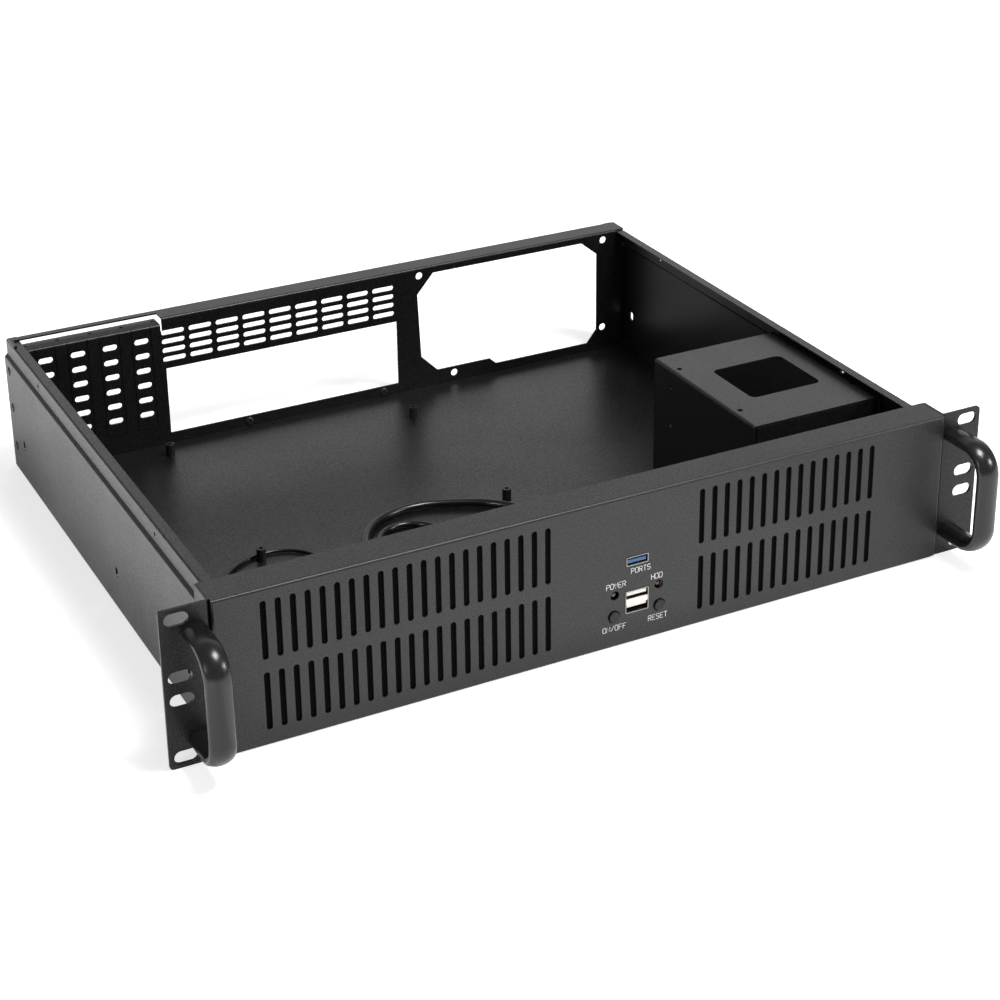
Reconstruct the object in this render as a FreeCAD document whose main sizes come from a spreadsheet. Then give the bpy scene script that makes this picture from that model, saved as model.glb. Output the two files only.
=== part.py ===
import FreeCAD, Part
import math
import os

# Empty 2U rackmount server case: an open folded tray, a slotted front bezel, rack ears with
# carrying handles, a punched rear panel, a drive cage and a small front board with its leads.
# Lengths are in millimetres. X points right as seen from the front, Y to the back, Z up.
# The pieces are laid out from the front face of the ears, and moved at the end so that the
# origin lies under the middle of the case.

Vector = FreeCAD.Vector
doc = FreeCAD.newDocument("ServerCase")

sizes = {
    # rack panel and its ears
    "panel_width": 482.6,
    "panel_height": 88.1,
    "ear_sheet": 1.5,
    "ear_flange_reach": 18.0,
    "ear_bend": 1.25,
    "ear_corner": 2.2,
    "ear_slot_length": 12.4,
    "ear_slot_height": 7.0,
    "ear_reach": 27.0,
    "ear_slot_edge": 8.75,
    "ear_slot_outer_rise": 76.2,
    "ear_slot_inner_rise": 12.7,
    "ear_screw_y": 10.1,
    "ear_screw_upper": 66.0,
    "ear_screw_lower": 20.0,
    # folded sheet steel
    "sheet": 1.0,
    "bend": 1.2,
    # tray
    "tray_length": 364.0,
    "wall_top": 85.7,
    "strip_inset": 2.0,
    "strip_bottom": 75.0,
    "rail_width": 6.3,
    "rear_lip": 6.5,
    "lid_hole_height": 80.4,
    "lid_hole_front": 89.3,
    "lid_hole_setback": 66.8,
    "thread_hole": 2.5,
    "slide_hole_width": 4.0,
    "slide_hole_rise": 6.0,
    "slide_hole_height": 25.0,
    "slide_hole_front": 43.0,
    "slide_hole_middle": 158.5,
    "slide_hole_setback": 27.0,
    # bezel
    "bezel_proud": 2.0,
    "bezel_top": 88.0,
    "bezel_flange": 18.6,
    "vent_pitch": 7.77,
    "vent_width": 3.2,
    "vent_rise": 32.6,
    "vent_upper": 65.1,
    "vent_lower": 25.3,
    "left_vents_start": -189.6,
    "left_vents": 21,
    "right_vents_start": 58.2,
    "right_vents": 15,
    "filter_margin": 6.0,
    "filter_bottom": 5.0,
    "filter_top": 84.0,
    "filter_thickness": 3.0,
    # handles
    "handle_inset": 17.1,
    "handle_upper": 74.3,
    "handle_lower": 14.3,
    "handle_reach": 31.2,
    "handle_bend": 14.0,
    "grip_width": 13.8,
    "grip_depth": 7.5,
    "grip_edge": 2.6,
    "handle_thread": 4.0,
    "handle_thread_depth": 10.0,
    "handle_screw_head": 7.6,
    "handle_screw_head_height": 2.4,
    # rear panel
    "rear_setback": 17.3,
    "rear_flange_gap": 3.0,
    "rear_panel_lift": 0.05,
    "rear_lip_bend": 0.55,
    "rear_flange_bottom": 1.8,
    "rear_foot_top": 2.4,
    "rear_corner_gap": 0.5,
    "rear_tab_start": 0.6,
    "rear_flange_top": 73.5,
    "expansion_window_left": -210.0,
    "expansion_window_right": -118.9,
    "expansion_window_depth": 9.8,
    "shelf_top": 82.5,
    "shelf_depth": 11.7,
    "shelf_right": -119.9,
    "shelf_notch": 3.0,
    "blank_pitch": 20.32,
    "blank_first": -193.6,
    "blank_width": 12.5,
    "blank_bottom": 14.0,
    "blank_groove": 0.5,
    "blank_hole_width": 9.2,
    "blank_hole_height": 3.8,
    "blank_hole_top": 73.5,
    "blank_hole_pitch": 9.93,
    "bracket_hole_first": -203.8,
    "bracket_hole_depth": 7.5,
    "rear_vent_first": -112.1,
    "rear_vent_pitch": 17.96,
    "rear_vent_top": 76.5,
    "rear_vent_drop": 5.98,
    "rear_vent_width": 15.0,
    "rear_vent_height": 3.3,
    "io_left": -118.0,
    "io_width": 158.75,
    "io_bottom": 7.9,
    "io_height": 44.45,
    "psu_left": 57.8,
    "psu_top": 81.1,
    "psu_hole": 5.0,
    "psu_span": 138.0,
    "psu_right_drop": 64.0,
    "psu_lower_shift": 24.0,
    "psu_lower_drop": 74.0,
    "psu_edge_left": 1.8,
    "psu_edge_right": 4.7,
    "psu_edge_top": 0.5,
    "psu_first_run": 10.0,
    "psu_first_drop": 13.0,
    "psu_second_run": 16.8,
    "psu_second_drop": 9.5,
    "psu_third_run": 11.9,
    "psu_third_drop": 65.0,
    "psu_fourth_rise": 16.4,
    "psu_tab_rise": 4.4,
    "psu_tab_left": 12.1,
    "psu_tab_right": 26.9,
    "psu_tab_slope": 4.8,
    # drive cage
    "cage_left": 124.0,
    "cage_right": 210.5,
    "cage_front": 49.4,
    "cage_rear": 157.4,
    "cage_top": 81.0,
    "cage_foot": 12.0,
    "cage_rivet_inset": 16.0,
    "cage_hole_middle": 55.1,
    "cage_window_width": 47.5,
    "cage_window_depth": 44.0,
    "cage_window_corner": 4.0,
    "cage_window_shift": 0.5,
    "drive_hole_span": 77.0,
    "drive_hole_depth": 65.6,
    "drive_hole_shift": 0.2,
    "drive_hole": 3.2,
    "side_hole_y": 138.3,
    "side_hole_upper": 69.9,
    "side_hole_lower": 44.9,
    # board standoffs
    "standoff_left": -125.0,
    "standoff_setback": 17.1,
    "board_hole_span": 157.48,
    "board_hole_depth": 154.94,
    "board_hole_step": 22.86,
    "standoff_height": 8.0,
    "standoff_width": 5.4,
    "standoff_spigot": 4.2,
    # front board, its ports, lamps and buttons
    "port_x": 18.9,
    "upper_port_z": 49.4,
    "lower_port_z": 25.2,
    "upper_port_width": 13.3,
    "upper_port_height": 5.2,
    "lower_port_width": 14.0,
    "lower_port_height": 13.2,
    "port_gap": 0.25,
    "port_wall": 0.4,
    "port_mouth": 0.3,
    "lamp_half_span": 13.4,
    "lamp_z": 31.3,
    "lamp_width": 4.8,
    "lamp_recess": 0.9,
    "button_half_span": 13.8,
    "button_z": 18.8,
    "button_width": 6.2,
    "button_hole": 7.4,
    "button_proud": 1.1,
    "button_collar": 9.0,
    "button_travel": 1.5,
    "front_board_gap": 14.0,
    "front_board": 1.6,
    "front_board_width": 46.0,
    "front_board_bottom": 10.5,
    "front_board_top": 58.0,
    "spacer_width": 5.0,
    "port_block": 5.0,
    "button_stem": 3.0,
    "stem_hold": 1.2,
    "switch_width": 6.4,
    "switch_depth": 7.0,
    "lamp_length": 8.0,
    "lamp_rim": 0.4,
    "plug_reach": 6.4,
    # cables
    "thick_cable": 5.0,
    "thin_cable": 4.0,
    "lead_bundle": 2.2,
    "cable_lift": 0.2,
    "lead_x": 3.0,
    "lead_z": 40.0,
    "header_length": 14.0,
    "wide_header_width": 26.6,
    "wide_header_height": 8.0,
    "small_header_width": 12.9,
    "small_header_height": 5.2,
    "pin_pitch": 2.54,
    "pin_socket": 1.0,
    # fasteners
    "rivet": 3.2,
    "rivet_head": 5.6,
    "rivet_head_height": 0.8,
    "lip_rivet_z": 4.0,
    "side_rivet_upper": 67.0,
    "side_rivet_middle": 42.8,
    "side_rivet_lower": 16.8,
    "side_rivet_edge": 4.0,
    "lip_rivet_left": -190.0,
    "lip_rivet_middle": -65.0,
    "lip_rivet_right": 30.0,
    "screw": 3.0,
    "screw_head": 5.4,
    "screw_head_taper": 1.6,
    "ear_screw_head_height": 1.3,
    "ear_screw_end": 2.5,
    "board_screw_head_height": 1.9,
    "board_screw_reach": 5.0,
    "screw_play": 0.2,
    "running_gap": 0.1,
}


def makeSheet():
    sheet = doc.addObject("Spreadsheet::Sheet", "Sizes")
    for row, (alias, value) in enumerate(sizes.items(), start=1):
        sheet.set(f"A{row}", alias)
        sheet.set(f"B{row}", str(value))
        sheet.setAlias(f"B{row}", alias)
    doc.recompute()
    return sheet


sheet = makeSheet()


def size(alias):
    return float(sheet.get(alias))


# Places that several pieces share, worked out from the sheet.
metal = size("sheet")
bend = size("bend")
panelHalf = size("panel_width") / 2
trayHalf = panelHalf - size("ear_reach")
wallInner = trayHalf - metal
floorTop = metal
bezelHalf = trayHalf + metal
bezelFront = -size("bezel_proud")
bezelBack = bezelFront + metal
trayFront = bezelBack + 2 * size("running_gap")
stripOuter = trayHalf - size("strip_inset")
railInner = stripOuter - size("rail_width")
handleX = panelHalf - size("handle_inset")
trayEnd = size("tray_length")
rearFace = trayEnd - size("rear_setback")
rearBack = rearFace + metal
flangeEnd = trayEnd - size("rear_flange_gap")
boardFront = bezelBack + size("front_board_gap")
boardBack = boardFront + size("front_board")
plugEnd = boardBack + size("plug_reach")
switchFront = boardFront - size("switch_depth")
screwHole = size("screw") + size("screw_play")
earScrewY = size("ear_screw_y")
earScrewZ = (size("ear_screw_lower"), size("ear_screw_upper"))
rivetY = flangeEnd - size("side_rivet_edge")
rivetZ = (size("side_rivet_upper"), size("side_rivet_middle"), size("side_rivet_lower"))
lipRivetX = (size("lip_rivet_left"), size("lip_rivet_middle"), size("lip_rivet_right"))
lipRivetZ = size("lip_rivet_z")


def planeOf(body, role):
    return next(o for o in body.Origin.OriginFeatures if o.Role == role)


def newBody(name):
    body = doc.addObject("PartDesign::Body", name)
    body.Label = name
    return body


def newSketch(body, name, plane, shift=0.0):
    """A sketch on one of the body's own planes; shift moves it along that plane's normal."""
    sketch = body.newObject("Sketcher::SketchObject", name)
    sketch.AttachmentSupport = (planeOf(body, plane), [""])
    sketch.MapMode = "FlatFace"
    sketch.AttachmentOffset = FreeCAD.Placement(Vector(0, 0, shift), FreeCAD.Rotation())
    return sketch


def line(a, b):
    return Part.LineSegment(Vector(a[0], a[1], 0), Vector(b[0], b[1], 0))


def arc(a, middle, b):
    points = [Vector(p[0], p[1], 0) for p in (a, middle, b)]
    return Part.ArcOfCircle(*points)


def foldedOutline(path, thickness, radius):
    """Closed outline of a sheet that follows a path of straight runs, bent round at each corner."""
    points = [Vector(x, y, 0) for x, y in path]
    sides = []
    for offset in (thickness / 2, -thickness / 2):
        edges = []
        run = (points[1] - points[0]).normalize()
        start = points[0] + Vector(-run.y, run.x, 0) * offset
        for before, corner, after in zip(points, points[1:], points[2:]):
            into = (corner - before).normalize()
            out = (after - corner).normalize()
            turn = math.atan2(into.x * out.y - into.y * out.x, into.dot(out))
            side = 1 if turn > 0 else -1
            reach = radius * math.tan(abs(turn) / 2)
            normalIn = Vector(-into.y, into.x, 0)
            normalOut = Vector(-out.y, out.x, 0)
            centre = corner - into * reach + normalIn * radius * side
            arm = radius - side * offset
            first = centre - normalIn * side * arm
            last = centre - normalOut * side * arm
            middle = centre - (normalIn + normalOut).normalize() * side * arm
            edges.append(line(start, first))
            edges.append(arc(first, middle, last))
            start = last
        run = (points[-1] - points[-2]).normalize()
        edges.append(line(start, points[-1] + Vector(-run.y, run.x, 0) * offset))
        sides.append(edges)
    left, right = sides
    leftEnd, rightEnd = left[-1].EndPoint, right[-1].EndPoint
    leftStart, rightStart = left[0].StartPoint, right[0].StartPoint
    return left + [line(leftEnd, rightEnd)] + right + [line(leftStart, rightStart)]


def rectangleLoop(x0, y0, x1, y1, corner=0.0):
    if corner <= 0:
        ring = [(x0, y0), (x1, y0), (x1, y1), (x0, y1)]
        return [line(a, b) for a, b in zip(ring, ring[1:] + ring[:1])]
    edges = []
    centres = [(x1 - corner, y0 + corner), (x1 - corner, y1 - corner),
               (x0 + corner, y1 - corner), (x0 + corner, y0 + corner)]
    arcs = []
    for quarter, (cx, cy) in enumerate(centres):
        angles = [math.radians(quarter * 90 + a) for a in (-90, -45, 0)]
        arcs.append([(cx + corner * math.cos(a), cy + corner * math.sin(a)) for a in angles])
    for now, following in zip(arcs, arcs[1:] + arcs[:1]):
        edges.append(arc(*now))
        edges.append(line(now[2], following[0]))
    return edges


def slotLoop(cx, cy, width, height):
    """A round-ended slot; its longer side sets the way it runs."""
    r = min(width, height) / 2
    if width >= height:
        run = width / 2 - r
        a, b = (cx - run, cy + r), (cx + run, cy + r)
        c, d = (cx + run, cy - r), (cx - run, cy - r)
        return [line(a, b), arc(b, (cx + run + r, cy), c), line(c, d), arc(d, (cx - run - r, cy), a)]
    run = height / 2 - r
    a, b = (cx + r, cy - run), (cx + r, cy + run)
    c, d = (cx - r, cy + run), (cx - r, cy - run)
    return [line(a, b), arc(b, (cx, cy + run + r), c), line(c, d), arc(d, (cx, cy - run - r), a)]


def circleLoop(cx, cy, diameter):
    return [Part.Circle(Vector(cx, cy, 0), Vector(0, 0, 1), diameter / 2)]


def polygonLoop(points):
    return [line(a, b) for a, b in zip(points, points[1:] + points[:1])]


def pad(body, name, plane, loops, length, shift=0.0, flip=False, middle=False):
    """Extrudes closed loops; length is a number or an expression on the sheet."""
    sketch = newSketch(body, name + "_sketch", plane, shift)
    for loop in loops:
        sketch.addGeometry(loop, False)
    feature = body.newObject("PartDesign::Pad", name)
    feature.Profile = sketch
    bindLength(feature, length)
    feature.Reversed = flip
    if middle:
        feature.SideType = "Symmetric"
    doc.recompute()
    return feature


def pocket(body, name, plane, loops, depth, shift=0.0, flip=False, middle=False):
    """Cuts closed loops, and stops if the cut takes nothing away."""
    before = body.Shape.Volume
    sketch = newSketch(body, name + "_sketch", plane, shift)
    for loop in loops:
        sketch.addGeometry(loop, False)
    feature = body.newObject("PartDesign::Pocket", name)
    feature.Profile = sketch
    bindLength(feature, depth)
    feature.Reversed = flip
    if middle:
        feature.SideType = "Symmetric"
    doc.recompute()
    if body.Shape.Volume > before - 1e-6:
        raise RuntimeError(name + " cuts nothing")
    return feature


def bindLength(feature, length):
    if isinstance(length, str):
        feature.setExpression("Length", length)
    else:
        feature.Length = length


def roundEdges(body, name, radius, chosen):
    """Fillets the edges of the body's last shape that the test chooses."""
    base = body.Tip
    names = [f"Edge{i}" for i, edge in enumerate(base.Shape.Edges, start=1) if chosen(edge)]
    feature = body.newObject("PartDesign::Fillet", name)
    feature.Base = (base, names)
    feature.Radius = radius
    doc.recompute()
    return feature


def upright(edge, axis):
    """True for a straight edge along an axis, 0 for X, 1 for Y and 2 for Z."""
    if edge.Curve.TypeId != "Part::GeomLine":
        return False
    way = edge.Curve.Direction
    return abs(way[axis]) > 0.999


def cylinder(name, diameter, length, place, way):
    """A plain cylinder whose sizes are expressions or numbers, from place along way."""
    rod = doc.addObject("Part::Cylinder", name)
    if isinstance(diameter, str):
        rod.setExpression("Radius", f"({diameter}) / 2")
    else:
        rod.Radius = diameter / 2
    if isinstance(length, str):
        rod.setExpression("Height", length)
    else:
        rod.Height = length
    rod.Placement = FreeCAD.Placement(Vector(*place), FreeCAD.Rotation(Vector(0, 0, 1), Vector(*way)))
    return rod


def cone(name, width, tip, length, place, way):
    taper = doc.addObject("Part::Cone", name)
    taper.Radius1 = width / 2
    taper.Radius2 = tip / 2
    taper.Height = length
    taper.Placement = FreeCAD.Placement(Vector(*place), FreeCAD.Rotation(Vector(0, 0, 1), Vector(*way)))
    return taper


def block(name, low, high):
    box = doc.addObject("Part::Box", name)
    box.Length = high[0] - low[0]
    box.Width = high[1] - low[1]
    box.Height = high[2] - low[2]
    box.Placement = FreeCAD.Placement(Vector(*low), FreeCAD.Rotation())
    return box


def fuse(name, shapes):
    joined = doc.addObject("Part::MultiFuse", name)
    joined.Shapes = shapes
    return joined


def cut(name, base, tool):
    taken = doc.addObject("Part::Cut", name)
    taken.Base = base
    taken.Tool = tool
    return taken


def group(name, members):
    """Like pieces kept in one node as separate solids."""
    together = doc.addObject("Part::Compound", name)
    together.Links = members
    together.Label = name
    return together


# Chassis tray: floor, side walls with an inset strip near the top, and rails folded inwards.

def makeTray():
    body = newBody("chassis_tray")
    wall = trayHalf - metal / 2
    strip = stripOuter - metal / 2
    rail = size("wall_top") - metal / 2
    stripBottom = size("strip_bottom")
    half = [(railInner, rail), (strip, rail), (strip, stripBottom + size("strip_inset") / 2),
            (wall, stripBottom - size("strip_inset") / 2), (wall, metal / 2)]
    path = [(-x, z) for x, z in half] + half[::-1]
    section = foldedOutline(path, metal, bend * 0.8)
    pad(body, "folded_tray", "XZ_Plane", [section], f"Sizes.tray_length - ({trayFront})",
        shift=-trayFront, flip=True)
    floorCut = [rectangleLoop(-wallInner - 0.01, rearBack, wallInner + 0.01, trayEnd + 1)]
    pocket(body, "floor_end", "XY_Plane", floorCut, "Sizes.sheet + Sizes.bend", flip=True)
    lipEnd = size("psu_left") - 8
    lip = foldedOutline([(rearFace - 8, metal / 2), (rearBack + metal / 2, metal / 2),
                         (rearBack + metal / 2, size("rear_lip"))], metal, size("rear_lip_bend"))
    pad(body, "rear_lip_fold", "YZ_Plane", [lip], lipEnd + wallInner - 6, shift=-wallInner + 6)
    lidHoles = []
    for y in (size("lid_hole_front"), trayEnd - size("lid_hole_setback")):
        lidHoles.append(circleLoop(y, size("lid_hole_height"), size("thread_hole")))
    pocket(body, "lid_screw_holes", "YZ_Plane", lidHoles, "Sizes.panel_width", middle=True)
    slideHoles = []
    for y in (size("slide_hole_front"), size("slide_hole_middle"), trayEnd - size("slide_hole_setback")):
        slideHoles.append(slotLoop(y, size("slide_hole_height"), size("slide_hole_width"),
                                   size("slide_hole_rise")))
    pocket(body, "slide_holes", "YZ_Plane", slideHoles, "Sizes.panel_width", middle=True)
    sideHoles = [circleLoop(earScrewY, z, screwHole) for z in earScrewZ]
    sideHoles += [circleLoop(rivetY, z, size("rivet")) for z in rivetZ]
    pocket(body, "side_fixing_holes", "YZ_Plane", sideHoles, "Sizes.panel_width", middle=True)
    floorHoles = [circleLoop(x, y, size("standoff_spigot")) for x, y in standoffPlaces()]
    floorHoles += [circleLoop(x, y, size("rivet")) for x, y in cageRivetPlaces()]
    pocket(body, "floor_holes", "XY_Plane", floorHoles, "Sizes.sheet * 3", middle=True)
    lipHoles = [circleLoop(x, lipRivetZ, size("rivet")) for x in lipRivetX]
    pocket(body, "lip_holes", "XZ_Plane", lipHoles, metal * 3, shift=-rearBack - metal / 2, middle=True)
    return body


def standoffPlaces():
    left = size("standoff_left")
    right = left + size("board_hole_span")
    rear = rearFace - size("standoff_setback")
    front = rear - size("board_hole_depth")
    return [(left, rear), (right, rear - size("board_hole_step")), (left, front), (right, front)]


def cageRivetPlaces():
    inset = metal + size("cage_foot") / 2
    places = []
    ends = (size("cage_front") + size("cage_rivet_inset"), size("cage_rear") - size("cage_rivet_inset"))
    for x in (size("cage_left") + inset, size("cage_right") - inset):
        places += [(x, y) for y in ends]
    return places


# Rear panel: a flat panel folded back at its top and sides, with the expansion shelf.

def makeRearPanel():
    body = newBody("rear_panel")
    middle = rearFace + metal / 2
    top = size("wall_top") + metal / 2
    bottom = floorTop + size("rear_panel_lift")
    topFold = foldedOutline([(middle, bottom), (middle, top), (flangeEnd, top)], metal, bend * 0.8)
    pad(body, "panel_and_top", "YZ_Plane", [topFold], 2 * (railInner - size("running_gap")), middle=True)
    tabs = []
    for side in (-1, 1):
        inner = side * (railInner - 2)
        outer = side * (stripOuter - 0.3)
        tabs.append(rectangleLoop(min(inner, outer), rearFace + size("rear_tab_start"),
                                  max(inner, outer), flangeEnd))
    pad(body, "top_over_rails", "XY_Plane", tabs, "Sizes.sheet", shift=size("wall_top"))
    sideFolds = []
    for side in (-1, 1):
        path = [(side * (railInner - 12), middle), (side * (wallInner - metal / 2), middle),
                (side * (wallInner - metal / 2), flangeEnd)]
        sideFolds.append(foldedOutline(path, metal, bend * 0.8))
    pad(body, "side_flanges", "XY_Plane", sideFolds, "Sizes.rear_flange_top - Sizes.rear_flange_bottom",
        shift=size("rear_flange_bottom"))
    gap = size("rear_corner_gap")
    corners = []
    for side in (-1, 1):
        inner = side * (railInner - 1)
        foot = side * (wallInner - gap)
        head = side * (stripOuter - metal - size("running_gap"))
        corners.append(rectangleLoop(min(inner, foot), bottom, max(inner, foot), size("rear_foot_top")))
        corners.append(rectangleLoop(min(inner, head), size("rear_flange_top") - gap,
                                     max(inner, head), size("wall_top") - metal - gap))
    pad(body, "panel_corners", "XZ_Plane", corners, "Sizes.sheet", shift=-rearFace, flip=True)
    windowLeft = size("expansion_window_left")
    windowRight = size("expansion_window_right")
    windowEnd = rearFace + size("expansion_window_depth")
    joint = size("blank_hole_top") + 4
    window = [rectangleLoop(windowLeft, rearFace - 1, windowRight, windowEnd)]
    pocket(body, "expansion_window", "XY_Plane", window, top + metal - joint, shift=joint, flip=True)
    shelfMiddle = size("shelf_top") - metal / 2
    shelfEnd = rearFace + size("shelf_depth")
    shelf = foldedOutline([(middle, joint - metal / 2), (middle, shelfMiddle), (shelfEnd, shelfMiddle)],
                          metal, bend * 0.8)
    shelfWidth = size("shelf_right") + railInner - size("running_gap")
    pad(body, "expansion_shelf", "YZ_Plane", [shelf], shelfWidth, shift=size("shelf_right") - shelfWidth)
    pocket(body, "io_opening", "XZ_Plane", [rectangleLoop(
        size("io_left"), size("io_bottom"), size("io_left") + size("io_width"),
        size("io_bottom") + size("io_height"), 0.5)], metal * 3, shift=-middle, middle=True)
    pocket(body, "psu_opening", "XZ_Plane", [polygonLoop(psuOutline())], metal * 3, shift=-middle,
           middle=True)
    holes = [circleLoop(x, z, size("psu_hole")) for x, z in psuHoles()]
    pocket(body, "psu_holes", "XZ_Plane", holes, metal * 3, shift=-middle, middle=True)
    vents = []
    for column in range(9):
        for row in range(4):
            vents.append(slotLoop(size("rear_vent_first") + column * size("rear_vent_pitch"),
                                  size("rear_vent_top") - row * size("rear_vent_drop"),
                                  size("rear_vent_width"), size("rear_vent_height")))
    pocket(body, "rear_vents", "XZ_Plane", vents, metal * 3, shift=-middle, middle=True)
    blankHoles = []
    for blank in range(4):
        for row in range(6):
            blankHoles.append(slotLoop(blankX(blank), size("blank_hole_top") - row * size("blank_hole_pitch"),
                                       size("blank_hole_width"), size("blank_hole_height")))
    pocket(body, "blank_holes", "XZ_Plane", blankHoles, metal * 3, shift=-middle, middle=True)
    grooves = [blankGroove(blankX(blank)) for blank in range(4)]
    pocket(body, "blank_grooves", "XZ_Plane", grooves, size("blank_groove") * 2, shift=-rearFace,
           middle=True)
    notches = []
    for blank in range(4):
        for side in (-1, 1):
            edge = blankX(blank) + side * size("blank_width") / 2
            low = edge - size("blank_groove") / 2
            notches.append(rectangleLoop(low, rearFace - 1, low + size("blank_groove"),
                                         rearFace + size("blank_groove")))
    pocket(body, "shelf_notches", "XY_Plane", notches, "Sizes.shelf_notch", shift=size("shelf_top"))
    bracketHoles = []
    for place in range(5):
        bracketHoles.append(circleLoop(size("bracket_hole_first") + place * size("blank_pitch"),
                                       rearFace + size("bracket_hole_depth"), size("thread_hole")))
    pocket(body, "bracket_holes", "XY_Plane", bracketHoles, metal * 3, shift=shelfMiddle, middle=True)
    riveted = [circleLoop(rivetY, z, size("rivet")) for z in rivetZ]
    pocket(body, "side_rivet_holes", "YZ_Plane", riveted, "Sizes.panel_width", middle=True)
    lipHoles = [circleLoop(x, lipRivetZ, size("rivet")) for x in lipRivetX]
    pocket(body, "lip_rivet_holes", "XZ_Plane", lipHoles, metal * 3, shift=-middle, middle=True)
    return body


def blankX(blank):
    return size("blank_first") + blank * size("blank_pitch")


def blankGroove(x):
    """The pressed line round three sides of a break-away blank."""
    half = size("blank_width") / 2
    edge = size("blank_groove") / 2
    low = size("blank_bottom")
    high = size("shelf_top") - 3.0
    ring = [(x - half - edge, high), (x - half - edge, low - edge), (x + half + edge, low - edge),
            (x + half + edge, high), (x + half - edge, high), (x + half - edge, low + edge),
            (x - half + edge, low + edge), (x - half + edge, high)]
    return polygonLoop(ring)


def psuHoles():
    left, top = size("psu_left"), size("psu_top")
    right = left + size("psu_span")
    return [(left, top), (right, top), (right, top - size("psu_right_drop")),
            (left + size("psu_lower_shift"), top - size("psu_lower_drop"))]


def psuOutline():
    """The power supply's opening, with a corner cut away at each of its four screws."""
    left, top = size("psu_left"), size("psu_top")
    right = left + size("psu_span")
    floor = top - size("psu_lower_drop")
    screwX = left + size("psu_lower_shift")
    upper = top + size("psu_edge_top")
    side = right - size("psu_edge_right")
    tab = floor + size("psu_tab_rise")
    tabRight = screwX + size("psu_tab_right")
    return [(left - size("psu_edge_left"), top - size("psu_first_drop")),
            (left + size("psu_first_run"), upper), (right - size("psu_second_run"), upper),
            (side, top - size("psu_second_drop")), (side, top - size("psu_third_drop")),
            (right - size("psu_third_run"), floor), (tabRight + size("psu_tab_slope"), floor),
            (tabRight, tab), (screwX - size("psu_tab_left"), tab),
            (left, floor + size("psu_fourth_rise"))]


# Front bezel: one folded cover over the front of the tray.

def makeBezel():
    body = newBody("front_bezel")
    face = bezelFront + metal / 2
    top = size("bezel_top") - metal / 2
    bottom = floorTop
    fold = foldedOutline([(size("bezel_flange"), top), (face, top), (face, bottom)], metal, bend * 0.8)
    pad(body, "face_and_top", "YZ_Plane", [fold], 2 * bezelHalf, middle=True)
    inner = foldedOutline([(face, bottom + 8), (face, bottom + metal / 2), (12.0, bottom + metal / 2)],
                          metal, bend * 0.8)
    pad(body, "bottom_flange", "YZ_Plane", [inner], 2 * (wallInner - bend), middle=True)
    sides = []
    for side in (-1, 1):
        a, b = side * trayHalf, side * bezelHalf
        sides.append(rectangleLoop(min(a, b), bezelFront + 0.5, max(a, b), size("ear_flange_reach") - 2))
    pad(body, "side_flanges", "XY_Plane", sides, size("bezel_top") - metal - 0.6 - bottom - 1.5,
        shift=bottom + 1.5)
    pocket(body, "side_folds", "XY_Plane", [foldCorner(side) for side in (-1, 1)],
           size("bezel_top") - metal, flip=True)
    vents = []
    banks = ((size("left_vents_start"), int(size("left_vents"))),
             (size("right_vents_start"), int(size("right_vents"))))
    for start, count in banks:
        for column in range(count):
            for z in (size("vent_upper"), size("vent_lower")):
                vents.append(slotLoop(start + column * size("vent_pitch"), z, size("vent_width"),
                                      size("vent_rise")))
    pocket(body, "front_vents", "XZ_Plane", vents, metal * 3, shift=-face, middle=True)
    openings = []
    for z, width, height in portSizes():
        w = width / 2 + size("port_gap")
        tall = height / 2 + size("port_gap")
        openings.append(rectangleLoop(size("port_x") - w, z - tall, size("port_x") + w, z + tall, 0.5))
    for x in lampX():
        openings.append(circleLoop(x, size("lamp_z"), size("lamp_width") + 2 * size("port_gap")))
    for x in buttonX():
        openings.append(circleLoop(x, size("button_z"), size("button_hole")))
    pocket(body, "front_openings", "XZ_Plane", openings, metal * 3, shift=-face, middle=True)
    fixings = [circleLoop(earScrewY, z, screwHole) for z in earScrewZ]
    pocket(body, "side_screw_holes", "YZ_Plane", fixings, 2 * bezelHalf + 2, middle=True)
    return body


def foldCorner(side):
    """What the bend of the bezel's side leaves out of a square corner."""
    edge = side * bezelHalf
    inner = side * (bezelHalf - metal)
    bow = metal * (1 - math.sqrt(0.5))
    return [line((inner, bezelFront), (edge, bezelFront)), line((edge, bezelFront), (edge, bezelBack)),
            arc((edge, bezelBack), (edge - side * bow, bezelFront + bow), (inner, bezelFront))]


def portSizes():
    return [(size("upper_port_z"), size("upper_port_width"), size("upper_port_height")),
            (size("lower_port_z"), size("lower_port_width"), size("lower_port_height"))]


def lampX():
    return [size("port_x") + side * size("lamp_half_span") for side in (-1, 1)]


def buttonX():
    return [size("port_x") + side * size("button_half_span") for side in (-1, 1)]


# Dust filters: thin foam pads behind the two banks of vents.

def makeFilter(name, start, count):
    body = newBody(name)
    margin = size("filter_margin")
    end = start + (count - 1) * size("vent_pitch")
    outline = rectangleLoop(start - margin, size("filter_bottom"), end + margin, size("filter_top"), 2.0)
    pad(body, name + "_pad", "XZ_Plane", [outline], "Sizes.filter_thickness", shift=-bezelBack, flip=True)
    return body


# Rack ears: an angle bracket at each side, slotted to the rack's hole spacing.

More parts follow.
